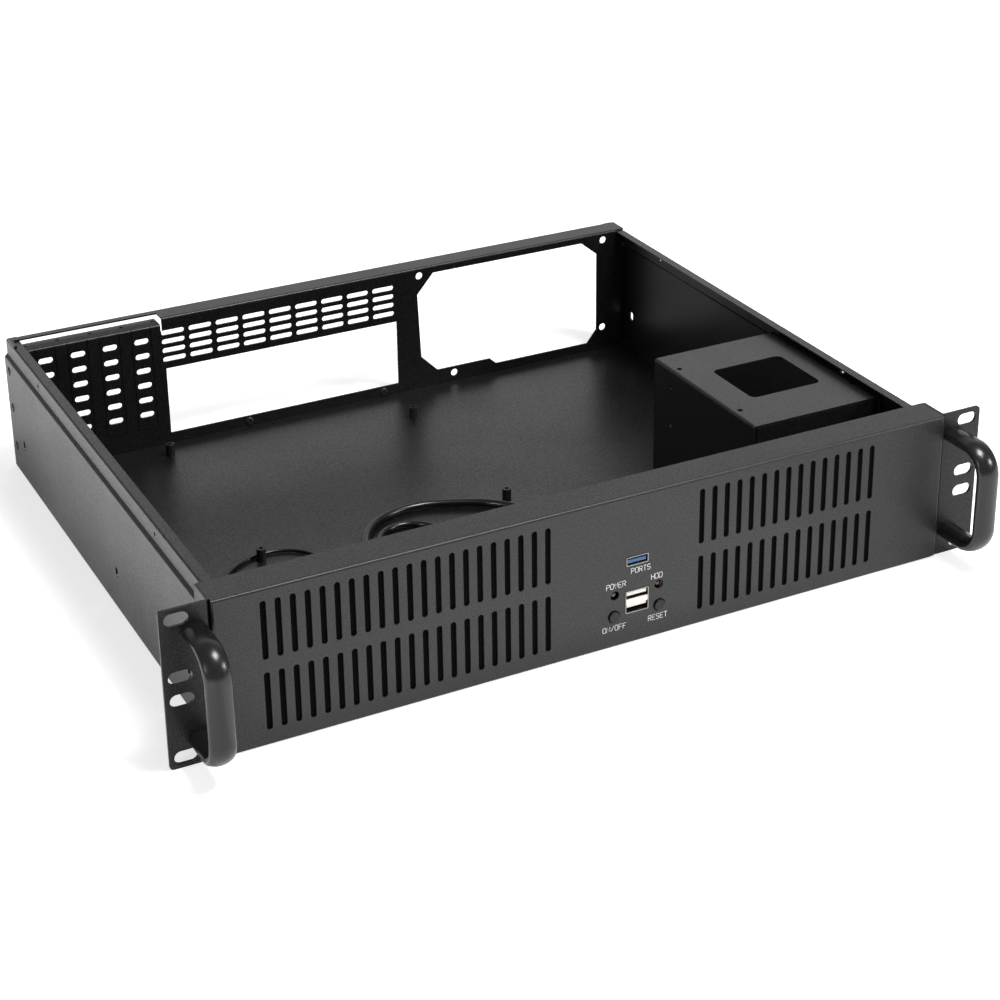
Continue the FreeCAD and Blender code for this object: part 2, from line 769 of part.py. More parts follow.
def makeEar(name, side):
    body = newBody(name)
    thick = size("ear_sheet")
    reach = bezelHalf + thick / 2
    path = [(side * panelHalf, thick / 2), (side * reach, thick / 2),
            (side * reach, size("ear_flange_reach"))]
    section = foldedOutline(path, thick, size("ear_bend"))
    pad(body, name + "_angle", "XY_Plane", [section], "Sizes.panel_height")
    roundEdges(body, name + "_corners", size("ear_corner"),
               lambda e: upright(e, 1) and abs(abs(e.CenterOfMass.x) - panelHalf) < 0.01)
    middle = size("panel_height") / 2
    slots = []
    for rise in (size("ear_slot_outer_rise"), size("ear_slot_inner_rise")):
        for way in (-1, 1):
            slots.append(slotLoop(side * (panelHalf - size("ear_slot_edge")), middle + way * rise / 2,
                                  size("ear_slot_length"), size("ear_slot_height")))
    for z in (size("handle_upper"), size("handle_lower")):
        slots.append(circleLoop(side * handleX, z, size("handle_thread") + 2 * size("screw_play")))
    pocket(body, name + "_holes", "XZ_Plane", slots, thick * 3, shift=-thick / 2, middle=True)
    fixings = [circleLoop(earScrewY, z, screwHole) for z in earScrewZ]
    pocket(body, name + "_screw_holes", "YZ_Plane", fixings, thick * 3, shift=side * reach, middle=True)
    return body


# Carrying handles: one oval bar each, bent twice and tapped at both ends.

def gripSection(x, z):
    """A crowned oval of four arcs that meet smoothly, wider in X than in Z."""
    a, b, r = size("grip_width") / 2, size("grip_depth") / 2, size("grip_edge")
    crown = (b * b - r * r + (a - r) ** 2) / (2 * (b - r))
    lean = math.asin((a - r) / (crown - r))
    dx, dz = crown * math.sin(lean), crown * math.cos(lean) - (crown - b)
    corners = [(x - dx, z + dz), (x + dx, z + dz), (x + dx, z - dz), (x - dx, z - dz)]
    bulges = [(x, z + b), (x + a, z), (x, z - b), (x - a, z)]
    return [arc(*ends) for ends in zip(corners, bulges, corners[1:] + corners[:1])]


def makeHandle(name, side):
    body = newBody(name)
    x = side * handleX
    upper, lower = size("handle_upper"), size("handle_lower")
    reach, r = -size("handle_reach"), size("handle_bend")
    profile = newSketch(body, name + "_section", "XZ_Plane")
    profile.addGeometry(gripSection(x, upper), False)
    spine = newSketch(body, name + "_path", "YZ_Plane", x)
    corner = r * (1 - math.sqrt(0.5))
    spine.addGeometry([
        line((0, upper), (reach + r, upper)),
        arc((reach + r, upper), (reach + corner, upper - corner), (reach, upper - r)),
        line((reach, upper - r), (reach, lower + r)),
        arc((reach, lower + r), (reach + corner, lower + corner), (reach + r, lower)),
        line((reach + r, lower), (0, lower))], False)
    doc.recompute()
    bar = body.newObject("PartDesign::AdditivePipe", name + "_bar")
    bar.Profile = profile
    bar.Spine = (spine, [f"Edge{i}" for i in range(1, 6)])
    doc.recompute()
    holes = [circleLoop(x, z, size("handle_thread") + 2 * size("running_gap")) for z in (upper, lower)]
    pocket(body, name + "_threads", "XZ_Plane", holes, "Sizes.handle_thread_depth", flip=True)
    return body


# Drive cage: a folded hood riveted to the floor, open at its back.

def makeCage():
    body = newBody("drive_cage")
    left = size("cage_left") + metal / 2
    right = size("cage_right") - metal / 2
    top = size("cage_top") - metal / 2
    foot = floorTop + metal / 2
    depth = size("cage_rear") - size("cage_front")
    reach = size("cage_foot")
    hood = foldedOutline([(left + reach, foot), (left, foot), (left, top), (right, top), (right, foot),
                          (right - reach, foot)], metal, bend)
    pad(body, "hood", "XZ_Plane", [hood], depth, shift=-size("cage_front"), flip=True)
    face = size("cage_front") + metal / 2
    front = foldedOutline([(face + 8, top), (face, top), (face, foot + 6)], metal, bend)
    width = right - left - 2 * metal - 1.0
    pad(body, "front_plate", "YZ_Plane", [front], width, shift=left + metal + 0.5)
    middleX = (size("cage_left") + size("cage_right")) / 2
    middleY = size("cage_front") + size("cage_hole_middle")
    w, d = size("cage_window_width") / 2, size("cage_window_depth") / 2
    windowX = middleX + size("cage_window_shift")
    windowY = middleY - size("cage_window_shift")
    window = rectangleLoop(windowX - w, windowY - d, windowX + w, windowY + d, size("cage_window_corner"))
    holes = []
    for sx in (-1, 1):
        for sy in (-1, 1):
            holes.append(circleLoop(middleX + size("drive_hole_shift") + sx * size("drive_hole_span") / 2,
                                    middleY + sy * size("drive_hole_depth") / 2, size("drive_hole")))
    pocket(body, "top_cuts", "XY_Plane", [window] + holes, metal * 3, shift=top, middle=True)
    sides = [circleLoop(size("side_hole_y"), z, size("drive_hole"))
             for z in (size("side_hole_upper"), size("side_hole_lower"))]
    pocket(body, "side_cuts", "YZ_Plane", sides, metal * 3, shift=left, middle=True)
    feet = [circleLoop(x, y, size("rivet")) for x, y in cageRivetPlaces()]
    pocket(body, "foot_cuts", "XY_Plane", feet, metal * 3, shift=foot, middle=True)
    return body


# Fasteners. Each kind is one group of separate solids.

def rivet(name, place, way, grip):
    """A round-headed rivet; its head sits on the face at place and its shank runs back from it."""
    head = cylinder(name + "_head", "Sizes.rivet_head", "Sizes.rivet_head_height", place, way)
    back = [-w for w in way]
    shank = cylinder(name + "_shank", "Sizes.rivet", grip, place, back)
    return fuse(name, [head, shank])


def makeRearRivets():
    made = []
    for side in (-1, 1):
        for i, z in enumerate(rivetZ):
            made.append(rivet(f"side_rivet_{'lr'[side > 0]}{i}", (side * trayHalf, rivetY, z), (side, 0, 0),
                              2 * metal))
    for i, x in enumerate(lipRivetX):
        made.append(rivet(f"lip_rivet_{i}", (x, rearFace, lipRivetZ), (0, -1, 0), 2 * metal))
    return group("rear_panel_rivets", made)


def makeCageRivets():
    made = []
    for i, (x, y) in enumerate(cageRivetPlaces()):
        made.append(rivet(f"cage_rivet_{i}", (x, y, floorTop + metal), (0, 0, 1), 2 * metal))
    return group("cage_rivets", made)


def makeEarScrews():
    """Low-headed screws through the ear, the bezel's side and the tray's wall."""
    outer = bezelHalf + size("ear_sheet")
    made = []
    for side in (-1, 1):
        for i, z in enumerate(earScrewZ):
            label = f"ear_screw_{'lr'[side > 0]}{i}"
            place = (side * outer, earScrewY, z)
            head = cone(label + "_head", size("screw_head"), size("screw_head") - size("screw_head_taper"),
                        size("ear_screw_head_height"), place, (side, 0, 0))
            shank = cylinder(label + "_shank", "Sizes.screw", outer - wallInner + size("ear_screw_end"),
                             place, (-side, 0, 0))
            made.append(fuse(label, [head, shank]))
    return group("ear_screws", made)


def makeHandleScrews():
    behind = size("ear_sheet")
    made = []
    for side in (-1, 1):
        for i, z in enumerate((size("handle_upper"), size("handle_lower"))):
            label = f"handle_screw_{'lr'[side > 0]}{i}"
            place = (side * handleX, behind, z)
            head = cylinder(label + "_head", "Sizes.handle_screw_head", "Sizes.handle_screw_head_height",
                            place, (0, 1, 0))
            shank = cylinder(label + "_shank", "Sizes.handle_thread",
                             behind + size("handle_thread_depth") - 2, place, (0, -1, 0))
            made.append(fuse(label, [head, shank]))
    return group("handle_screws", made)


# Motherboard standoffs, clinched into the floor and tapped from above.

def makeStandoffs():
    made = []
    for i, (x, y) in enumerate(standoffPlaces()):
        post = cylinder(f"standoff_post_{i}", "Sizes.standoff_width", "Sizes.standoff_height",
                        (x, y, floorTop), (0, 0, 1))
        spigot = cylinder(f"standoff_spigot_{i}", "Sizes.standoff_spigot", "Sizes.sheet", (x, y, 0),
                          (0, 0, 1))
        whole = fuse(f"standoff_whole_{i}", [post, spigot])
        bore = cylinder(f"standoff_bore_{i}", "Sizes.thread_hole", "Sizes.standoff_height",
                        (x, y, floorTop + 1.0), (0, 0, 1))
        made.append(cut(f"standoff_{i}", whole, bore))
    return group("motherboard_standoffs", made)


# Front board with its ports, lamps, buttons and the switches behind them.

def spacerPlaces():
    half = size("front_board_width") / 2 - size("spacer_width") / 2 - 0.5
    low = size("front_board_bottom") + size("spacer_width") / 2 + 0.3
    high = size("front_board_top") - size("spacer_width") / 2 - 0.5
    return [(size("port_x") + side * half, z) for side in (-1, 1) for z in (low, high)]


def makeFrontBoard():
    body = newBody("front_board")
    half = size("front_board_width") / 2
    outline = rectangleLoop(size("port_x") - half, size("front_board_bottom"), size("port_x") + half,
                            size("front_board_top"), 1.5)
    pad(body, "board_slab", "XZ_Plane", [outline], "Sizes.front_board", shift=-boardFront, flip=True)
    holes = [circleLoop(x, z, screwHole) for x, z in spacerPlaces()]
    pocket(body, "board_holes", "XZ_Plane", holes, size("front_board") * 3, shift=-boardFront, middle=True)
    return body


def makeSpacers():
    made = []
    for i, (x, z) in enumerate(spacerPlaces()):
        post = cylinder(f"spacer_post_{i}", "Sizes.spacer_width", "Sizes.front_board_gap", (x, bezelBack, z),
                        (0, 1, 0))
        bore = cylinder(f"spacer_bore_{i}", "Sizes.thread_hole", "Sizes.front_board_gap",
                        (x, bezelBack + 2, z), (0, 1, 0))
        made.append(cut(f"spacer_{i}", post, bore))
    return group("board_spacers", made)


def makeBoardScrews():
    made = []
    for i, (x, z) in enumerate(spacerPlaces()):
        head = cylinder(f"board_screw_head_{i}", "Sizes.screw_head", "Sizes.board_screw_head_height",
                        (x, boardBack, z), (0, 1, 0))
        shank = cylinder(f"board_screw_shank_{i}", "Sizes.thread_hole",
                         "Sizes.front_board + Sizes.board_screw_reach", (x, boardBack, z), (0, -1, 0))
        made.append(fuse(f"board_screw_{i}", [head, shank]))
    return group("board_screws", made)


def makePortShell(name, z, width, height):
    """A thin drawn box, open to the front, that stands on the board."""
    body = newBody(name)
    x = size("port_x")
    mouth = bezelFront - size("port_mouth")
    outer = rectangleLoop(x - width / 2, z - height / 2, x + width / 2, z + height / 2, 0.6)
    pad(body, name + "_box", "XZ_Plane", [outer], boardFront - mouth, shift=-mouth, flip=True)
    wall = size("port_wall")
    inner = rectangleLoop(x - width / 2 + wall, z - height / 2 + wall, x + width / 2 - wall,
                          z + height / 2 - wall, 0.3)
    pocket(body, name + "_hollow", "XZ_Plane", [inner], boardFront - mouth, shift=-mouth)
    return body


def makePortCore(name, z, width, height, rows):
    """The insulator inside a port shell: a back block, and one tongue for each row of contacts."""
    body = newBody(name)
    x = size("port_x")
    wall = size("port_wall")
    mouth = bezelFront - size("port_mouth")
    w, tall = width / 2 - wall, height / 2 - wall
    back = boardFront - size("port_block")
    insert = rectangleLoop(x - w, z - tall, x + w, z + tall, 0.3)
    pad(body, name + "_block", "XZ_Plane", [insert], "Sizes.port_block", shift=-back, flip=True)
    tongues = []
    for low, high in rows:
        tongues.append(rectangleLoop(x - w + 0.7, z + low, x + w - 0.7, z + high))
    pad(body, name + "_tongues", "XZ_Plane", tongues, back - mouth - 0.8, shift=-back)
    if len(rows) > 1:
        divider = rectangleLoop(x - w, z - 1.5, x + w, z + 1.5)
        pad(body, name + "_divider", "XZ_Plane", [divider], back - mouth - 0.2, shift=-back)
    return body


def makeButton(name, x):
    """A cap with a collar behind the bezel, and a stem that reaches into its switch."""
    body = newBody(name)
    z = size("button_z")
    front = bezelFront - size("button_proud")
    shoulder = bezelBack + 4.0
    pad(body, name + "_cap", "XZ_Plane", [circleLoop(x, z, size("button_width"))], shoulder - front,
        shift=-front, flip=True)
    pad(body, name + "_collar", "XZ_Plane", [circleLoop(x, z, size("button_collar"))], 1.0,
        shift=-(bezelBack + size("running_gap") * 2), flip=True)
    pad(body, name + "_stem", "XZ_Plane", [circleLoop(x, z, size("button_stem"))],
        switchFront + size("stem_hold") - shoulder + 0.5, shift=-(shoulder - 0.5), flip=True)
    roundEdges(body, name + "_rim", 0.5, lambda e: abs(e.CenterOfMass.y - front) < 0.01)
    return body


def makeSwitch(name, x):
    """The switch body on the board, bored for the button's stem and its travel."""
    body = newBody(name)
    z = size("button_z")
    half = size("switch_width") / 2
    outline = rectangleLoop(x - half, z - half, x + half, z + half, 0.4)
    pad(body, name + "_body", "XZ_Plane", [outline], "Sizes.switch_depth", shift=-switchFront, flip=True)
    bore = [circleLoop(x, z, size("button_stem") + 2 * size("running_gap"))]
    pocket(body, name + "_bore", "XZ_Plane", bore, "Sizes.stem_hold + Sizes.button_travel + 0.5",
           shift=-switchFront)
    return body


def makeLamp(name, x):
    """A domed lamp with a rim at its foot."""
    body = newBody(name)
    z = size("lamp_z")
    r = size("lamp_width") / 2
    tip = bezelFront + size("lamp_recess")
    foot = tip + size("lamp_length")
    rim = z + r + size("lamp_rim")
    sketch = newSketch(body, name + "_half", "YZ_Plane", x)
    shoulder = tip + r
    bow = r * math.sqrt(0.5)
    sketch.addGeometry([
        arc((tip, z), (shoulder - bow, z + bow), (shoulder, z + r)),
        line((shoulder, z + r), (foot - 1.0, z + r)),
        line((foot - 1.0, z + r), (foot - 1.0, rim)),
        line((foot - 1.0, rim), (foot, rim)),
        line((foot, rim), (foot, z)),
        line((foot, z), (tip, z))], False)
    turned = body.newObject("PartDesign::Revolution", name + "_dome")
    turned.Profile = sketch
    turned.ReferenceAxis = (sketch, ["Edge6"])
    turned.Angle = 360
    doc.recompute()
    return body, foot


def makeLampSpacers(foot):
    made = [cylinder(f"lamp_spacer_{i}", "Sizes.lamp_width", boardFront - foot, (x, foot, size("lamp_z")),
                     (0, 1, 0)) for i, x in enumerate(lampX())]
    return group("lamp_spacers", made)


# Cables. Each lies on the floor behind the bezel, from a plug on the board to a header plug.

thickRest = floorTop + size("thick_cable") / 2 + size("cable_lift")
thinRest = floorTop + size("thin_cable") / 2 + size("cable_lift")
leadRest = floorTop + size("lead_bundle") / 2 + size("cable_lift")
leadX, leadZ = size("lead_x"), size("lead_z")
portX, upperPortZ, lowerPortZ = size("port_x"), size("upper_port_z"), size("lower_port_z")

thickRoute = [
    (portX, plugEnd, upperPortZ), (portX, 36.0, upperPortZ), (20.5, 53.0, 41.0), (24.5, 68.0, 25.0),
    (31.0, 84.0, 10.0),
    (37.5, 104.0, thickRest), (41.0, 127.0, thickRest), (37.0, 151.0, thickRest),
    (22.5, 170.5, thickRest), (1.5, 182.0, thickRest), (-20.5, 189.5, thickRest),
    (-43.5, 186.5, thickRest), (-61.0, 172.5, thickRest), (-71.0, 151.0, thickRest),
    (-77.0, 128.0, thickRest), (-82.0, 105.0, 4.6), (-86.0, 84.0, 5.0), (-89.0, 66.0, 5.0)]
thinRoute = [
    (portX, plugEnd, lowerPortZ), (portX, 33.0, lowerPortZ), (14.0, 47.0, 18.5), (7.0, 61.0, 8.5),
    (0.0, 77.0, thinRest),
    (-7.0, 95.0, thinRest), (-12.5, 114.0, thinRest), (-16.0, 133.5, thinRest), (-18.5, 151.5, thinRest),
    (-24.0, 165.5, thinRest), (-36.5, 172.8, thinRest), (-50.5, 170.3, thinRest), (-59.8, 159.0, thinRest),
    (-60.5, 143.0, thinRest), (-58.5, 126.0, thinRest), (-55.0, 109.5, 3.6), (-49.5, 94.0, 3.6),
    (-44.0, 81.0, 3.6)]
leadRoute = [
    (leadX, plugEnd, leadZ), (leadX, 30.0, leadZ), (-4.0, 40.0, 32.0), (-15.0, 46.0, 17.0),
    (-29.0, 48.0, 5.5), (-45.0, 45.0, leadRest), (-64.0, 38.5, leadRest), (-84.0, 32.0, leadRest),
    (-106.0, 29.5, leadRest), (-128.0, 33.0, leadRest), (-147.0, 45.0, leadRest), (-160.5, 64.0, leadRest),
    (-168.0, 87.0, leadRest), (-169.5, 111.0, leadRest), (-165.5, 134.5, leadRest),
    (-157.0, 156.5, leadRest), (-142.5, 173.0, leadRest), (-122.5, 180.8, leadRest),
    (-103.5, 176.0, leadRest), (-94.0, 160.0, leadRest), (-92.5, 140.0, leadRest),
    (-96.0, 120.0, leadRest), (-102.5, 102.0, 3.6), (-109.5, 87.0, 3.6)]


def makeCable(name, route, diameter):
    """A plain tube of straight runs and tangent arcs, checked against its own length."""
    points = [Vector(*p) for p in route]
    edges = []
    radii = []
    length = 0.0
    start = points[0]
    for before, corner, after in zip(points, points[1:], points[2:]):
        into = (corner - before).normalize()
        out = (after - corner).normalize()
        half = math.acos(max(-1.0, min(1.0, into.dot(out)))) / 2
        shorter = min((corner - before).Length, (after - corner).Length)
        reach = 0.45 * shorter
        radius = reach / math.tan(half)
        first = corner - into * reach
        last = corner + out * reach
        centre = corner + (out - into).normalize() * (radius / math.cos(half))
        middle = centre + (corner - centre).normalize() * radius
        edges.append(Part.LineSegment(start, first).toShape())
        edges.append(Part.Arc(first, middle, last).toShape())
        length += (first - start).Length + radius * 2 * half
        radii.append(radius)
        start = last
    edges.append(Part.LineSegment(start, points[-1]).toShape())
    length += (points[-1] - start).Length
    ring = Part.Wire([Part.Circle(points[0], points[1] - points[0], diameter / 2).toShape()])
    tube = Part.Wire(edges).makePipeShell([ring], True, True)
    ideal = math.pi * diameter * diameter / 4 * length
    if abs(tube.Volume / ideal - 1) > 0.01:
        raise RuntimeError(name + " has the wrong volume")
    print(name, "length", round(length, 1), "smallest radius", round(min(radii), 1), "largest",
          round(max(radii), 1))
    cable = doc.addObject("Part::Feature", name)
    cable.Label = name
    cable.Shape = tube
    return cable


def makeHeaderPlug(name, route, width, height):
    """A header housing that lies on the floor at the end of a cable."""
    end = Vector(*route[-1])
    way = end - Vector(*route[-2])
    way.z = 0
    way.normalize()
    body = newBody(name)
    low = floorTop - end.z
    housing = rectangleLoop(-width / 2, low, width / 2, low + height, 0.5)
    pad(body, name + "_housing", "YZ_Plane", [housing], "Sizes.header_length")
    pitch = size("pin_pitch")
    half = size("pin_socket") / 2
    columns = int(width / pitch) - 1
    sockets = []
    for column in range(columns):
        for row in (-1, 1):
            cy = (column - (columns - 1) / 2) * pitch
            cz = low + height / 2 + row * min(pitch, height / 2.6) / 2
            sockets.append(rectangleLoop(cy - half, cz - half, cy + half, cz + half))
    pocket(body, name + "_sockets", "YZ_Plane", sockets, 6.0, shift=size("header_length"))
    body.Placement = FreeCAD.Placement(end, FreeCAD.Rotation(Vector(1, 0, 0), way))
    return body


def makeBoardPlugs():
    """Three small plugs on the back of the board, where the cables leave it."""
    made = []
    plugs = ((portX, upperPortZ, 16.0, 7.0), (portX, lowerPortZ, 12.8, 6.4), (leadX, leadZ, 7.6, 5.2))
    for i, (x, z, w, tall) in enumerate(plugs):
        made.append(block(f"board_plug_{i}", (x - w / 2, boardBack, z - tall / 2),
                          (x + w / 2, plugEnd, z + tall / 2)))
    return group("board_plugs", made)


def finishParts(parts):
    """Moves every piece so that the origin is under the middle of the case, and writes them."""
    shift = -(trayEnd - size("handle_reach") - size("grip_depth") / 2) / 2
    for part in parts:
        place = part.Placement
        part.Placement = FreeCAD.Placement(place.Base + Vector(0, shift, 0), place.Rotation)
    doc.recompute()
    for thing in doc.Objects:
        if "Invalid" in thing.State or "Error" in thing.State:
            raise RuntimeError("failed: " + thing.Name)
    for part in parts:
        if part.Shape.isNull() or not part.Shape.isValid():
            raise RuntimeError("bad shape: " + part.Label)
    os.makedirs("parts", exist_ok=True)
    for part in parts:
        part.Shape.exportStep(f"parts/{part.Label}.step")
        print(part.Label, len(part.Shape.Solids), round(part.Shape.Volume, 1))


upperZ, upperW, upperH = portSizes()[0]
lowerZ, lowerW, lowerH = portSizes()[1]
leftLamp, lampFoot = makeLamp("power_lamp", lampX()[0])
rightLamp, _ = makeLamp("drive_lamp", lampX()[1])
parts = [
    makeTray(),
    makeRearPanel(),
    makeBezel(),
    makeFilter("left_vent_filter", size("left_vents_start"), int(size("left_vents"))),
    makeFilter("right_vent_filter", size("right_vents_start"), int(size("right_vents"))),
    makeEar("left_ear", -1),
    makeEar("right_ear", 1),
    makeHandle("left_handle", -1),
    makeHandle("right_handle", 1),
    makeCage(),
    makeRearRivets(),
    makeCageRivets(),
    makeEarScrews(),
    makeHandleScrews(),
    makeStandoffs(),
    makeFrontBoard(),
    makeSpacers(),
    makeBoardScrews(),
    makePortShell("upper_port_shell", upperZ, upperW, upperH),
    makePortCore("upper_port_core", upperZ, upperW, upperH, [(-1.2, 0.7)]),
    makePortShell("lower_port_shell", lowerZ, lowerW, lowerH),
    makePortCore("lower_port_core", lowerZ, lowerW, lowerH, [(3.6, 5.5), (-3.4, -1.5)]),
    makeButton("power_button", buttonX()[0]),
    makeButton("reset_button", buttonX()[1]),
    makeSwitch("power_switch", buttonX()[0]),
    makeSwitch("reset_switch", buttonX()[1]),
    leftLamp,
    rightLamp,
    makeLampSpacers(lampFoot),
    makeBoardPlugs(),
    makeCable("upper_port_cable", thickRoute, size("thick_cable")),
    makeHeaderPlug("upper_port_plug", thickRoute, size("wide_header_width"), size("wide_header_height")),
    makeCable("lower_port_cable", thinRoute, size("thin_cable")),
    makeHeaderPlug("lower_port_plug", thinRoute, size("small_header_width"), size("small_header_height")),
    makeCable("switch_leads", leadRoute, size("lead_bundle")),
    makeHeaderPlug("switch_leads_plug", leadRoute, size("small_header_width"), size("small_header_height")),
]
finishParts(parts)
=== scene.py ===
import bmesh
import bpy
import math
from mathutils import Matrix, Vector


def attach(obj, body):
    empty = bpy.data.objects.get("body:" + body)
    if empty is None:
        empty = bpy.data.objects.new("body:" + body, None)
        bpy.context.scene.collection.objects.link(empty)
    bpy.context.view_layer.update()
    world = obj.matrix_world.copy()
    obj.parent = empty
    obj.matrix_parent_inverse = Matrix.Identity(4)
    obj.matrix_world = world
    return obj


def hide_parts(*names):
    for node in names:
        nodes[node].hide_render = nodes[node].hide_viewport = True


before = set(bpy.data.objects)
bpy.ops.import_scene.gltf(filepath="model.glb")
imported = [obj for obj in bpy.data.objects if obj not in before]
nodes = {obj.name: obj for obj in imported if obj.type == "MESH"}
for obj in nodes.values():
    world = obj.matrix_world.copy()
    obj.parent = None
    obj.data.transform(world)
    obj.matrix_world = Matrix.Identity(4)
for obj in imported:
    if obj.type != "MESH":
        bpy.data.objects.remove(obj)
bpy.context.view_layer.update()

earFace = -164.525  # where the ears' front face lies in the frame, in mm
mm = 0.001


def at(x, y, z):  # a place measured from the ears' front face, as in the part's source
    return Vector((x, y + earFace, z)) * mm


# camera

cameraSizes = {
    "place": (-507.33, -885.95, 615.03),
    "right": (0.89040, -0.45501, -0.01270),
    "down": (-0.18951, -0.34519, -0.91920),
    "ahead": (0.41386, 0.82086, -0.39359),
    "lens": 80.124,
    "sensor": 36.0,
    "shift": (0.003, -0.16),
    "clip": (0.05, 60),
}


def makeCamera():
    data = bpy.data.cameras.new("photoCamera")
    data.lens = cameraSizes["lens"]
    data.sensor_width = cameraSizes["sensor"]
    data.shift_x, data.shift_y = cameraSizes["shift"]
    data.clip_start, data.clip_end = cameraSizes["clip"]
    camera = bpy.data.objects.new("photoCamera", data)
    bpy.context.scene.collection.objects.link(camera)
    right, down, ahead = (Vector(cameraSizes[k]) for k in ("right", "down", "ahead"))
    camera.rotation_mode = "QUATERNION"
    camera.rotation_quaternion = Matrix((right, -down, -ahead)).transposed().to_quaternion()
    camera.location = at(*cameraSizes["place"])
    bpy.context.scene.camera = camera


makeCamera()
print("camera set")


# helpers for pieces

def linkMesh(name, mesh, body="case", material=None):
    piece = bpy.data.objects.new(name, mesh)
    bpy.context.scene.collection.objects.link(piece)
    if material is not None:
        mesh.materials.clear()
        mesh.materials.append(material)
    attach(piece, body)
    return piece


def smoothByAngle(mesh, degrees):
    work = bmesh.new()
    work.from_mesh(mesh)
    limit = math.radians(degrees)
    for face in work.faces:
        face.smooth = True
    for edge in work.edges:
        edge.smooth = len(edge.link_faces) == 2 and edge.calc_face_angle(0) < limit
    work.to_mesh(mesh)
    work.free()


def evaluatedMesh(helper, name):  # the helper with its modifiers, as one plain mesh in the frame
    bpy.context.view_layer.update()
    graph = bpy.context.evaluated_depsgraph_get()
    mesh = bpy.data.meshes.new_from_object(helper.evaluated_get(graph), depsgraph=graph)
    mesh.transform(helper.matrix_world)
    mesh.name = name
    helper.modifiers.clear()
    bpy.data.objects.remove(helper)
    return mesh


# shader groups

def newGroup(name, inputs, outputs):
    tree = bpy.data.node_groups.new(name, "ShaderNodeTree")
    for label, kind, value in inputs:
        socket = tree.interface.new_socket(label, in_out="INPUT", socket_type=kind)
        if value is not None:
            socket.default_value = value
    for label, kind in outputs:
        tree.interface.new_socket(label, in_out="OUTPUT", socket_type=kind)
    return tree, tree.nodes.new("NodeGroupInput"), tree.nodes.new("NodeGroupOutput")


def noiseNode(tree, vector, scale, detail):
    node = tree.nodes.new("ShaderNodeTexNoise")
    node.inputs["Detail"].default_value = detail
    tree.links.new(vector, node.inputs["Vector"])
    if isinstance(scale, (int, float)):
        node.inputs["Scale"].default_value = scale
    else:
        tree.links.new(scale, node.inputs["Scale"])
    return node.outputs["Fac"]


def spreadNode(tree, value, low, high, toLow=0.0, toHigh=1.0):
    node = tree.nodes.new("ShaderNodeMapRange")
    node.inputs["From Min"].default_value = low
    node.inputs["From Max"].default_value = high
    node.inputs["To Min"].default_value = toLow
    node.inputs["To Max"].default_value = toHigh
    tree.links.new(value, node.inputs["Value"])
    return node.outputs["Result"]


def mathNode(tree, operation, *values, clamp=False):
    node = tree.nodes.new("ShaderNodeMath")
    node.operation = operation
    node.use_clamp = clamp
    for plug, value in zip(node.inputs, values):
        if isinstance(value, (int, float)):
            plug.default_value = value
        else:
            tree.links.new(value, plug)
    return node.outputs["Value"]


grainSizes = {"detail": 2.0, "fleckDetail": 1.0, "driftScale": 22.0, "fleckSpread": (0.35, 0.65),
              "driftSpread": (0.3, 0.7)}


def makeCoatGrain():  # the orange peel, pale flecks and slow unevenness of sprayed or moulded skins
    tree, source, sink = newGroup("coatGrain", [
        ("Vector", "NodeSocketVector", None),
        ("Grain Scale", "NodeSocketFloat", 1500.0),
        ("Fleck Scale", "NodeSocketFloat", 2600.0),
    ], [("Height", "NodeSocketFloat"), ("Fleck", "NodeSocketFloat"), ("Drift", "NodeSocketFloat")])
    vector = source.outputs["Vector"]
    s = grainSizes
    peel = noiseNode(tree, vector, source.outputs["Grain Scale"], s["detail"])
    fleck = noiseNode(tree, vector, source.outputs["Fleck Scale"], s["fleckDetail"])
    drift = noiseNode(tree, vector, s["driftScale"], s["detail"])
    tree.links.new(peel, sink.inputs["Height"])
    tree.links.new(spreadNode(tree, fleck, *s["fleckSpread"]), sink.inputs["Fleck"])
    tree.links.new(spreadNode(tree, drift, *s["driftSpread"]), sink.inputs["Drift"])
    return tree


coatGrain = makeCoatGrain()


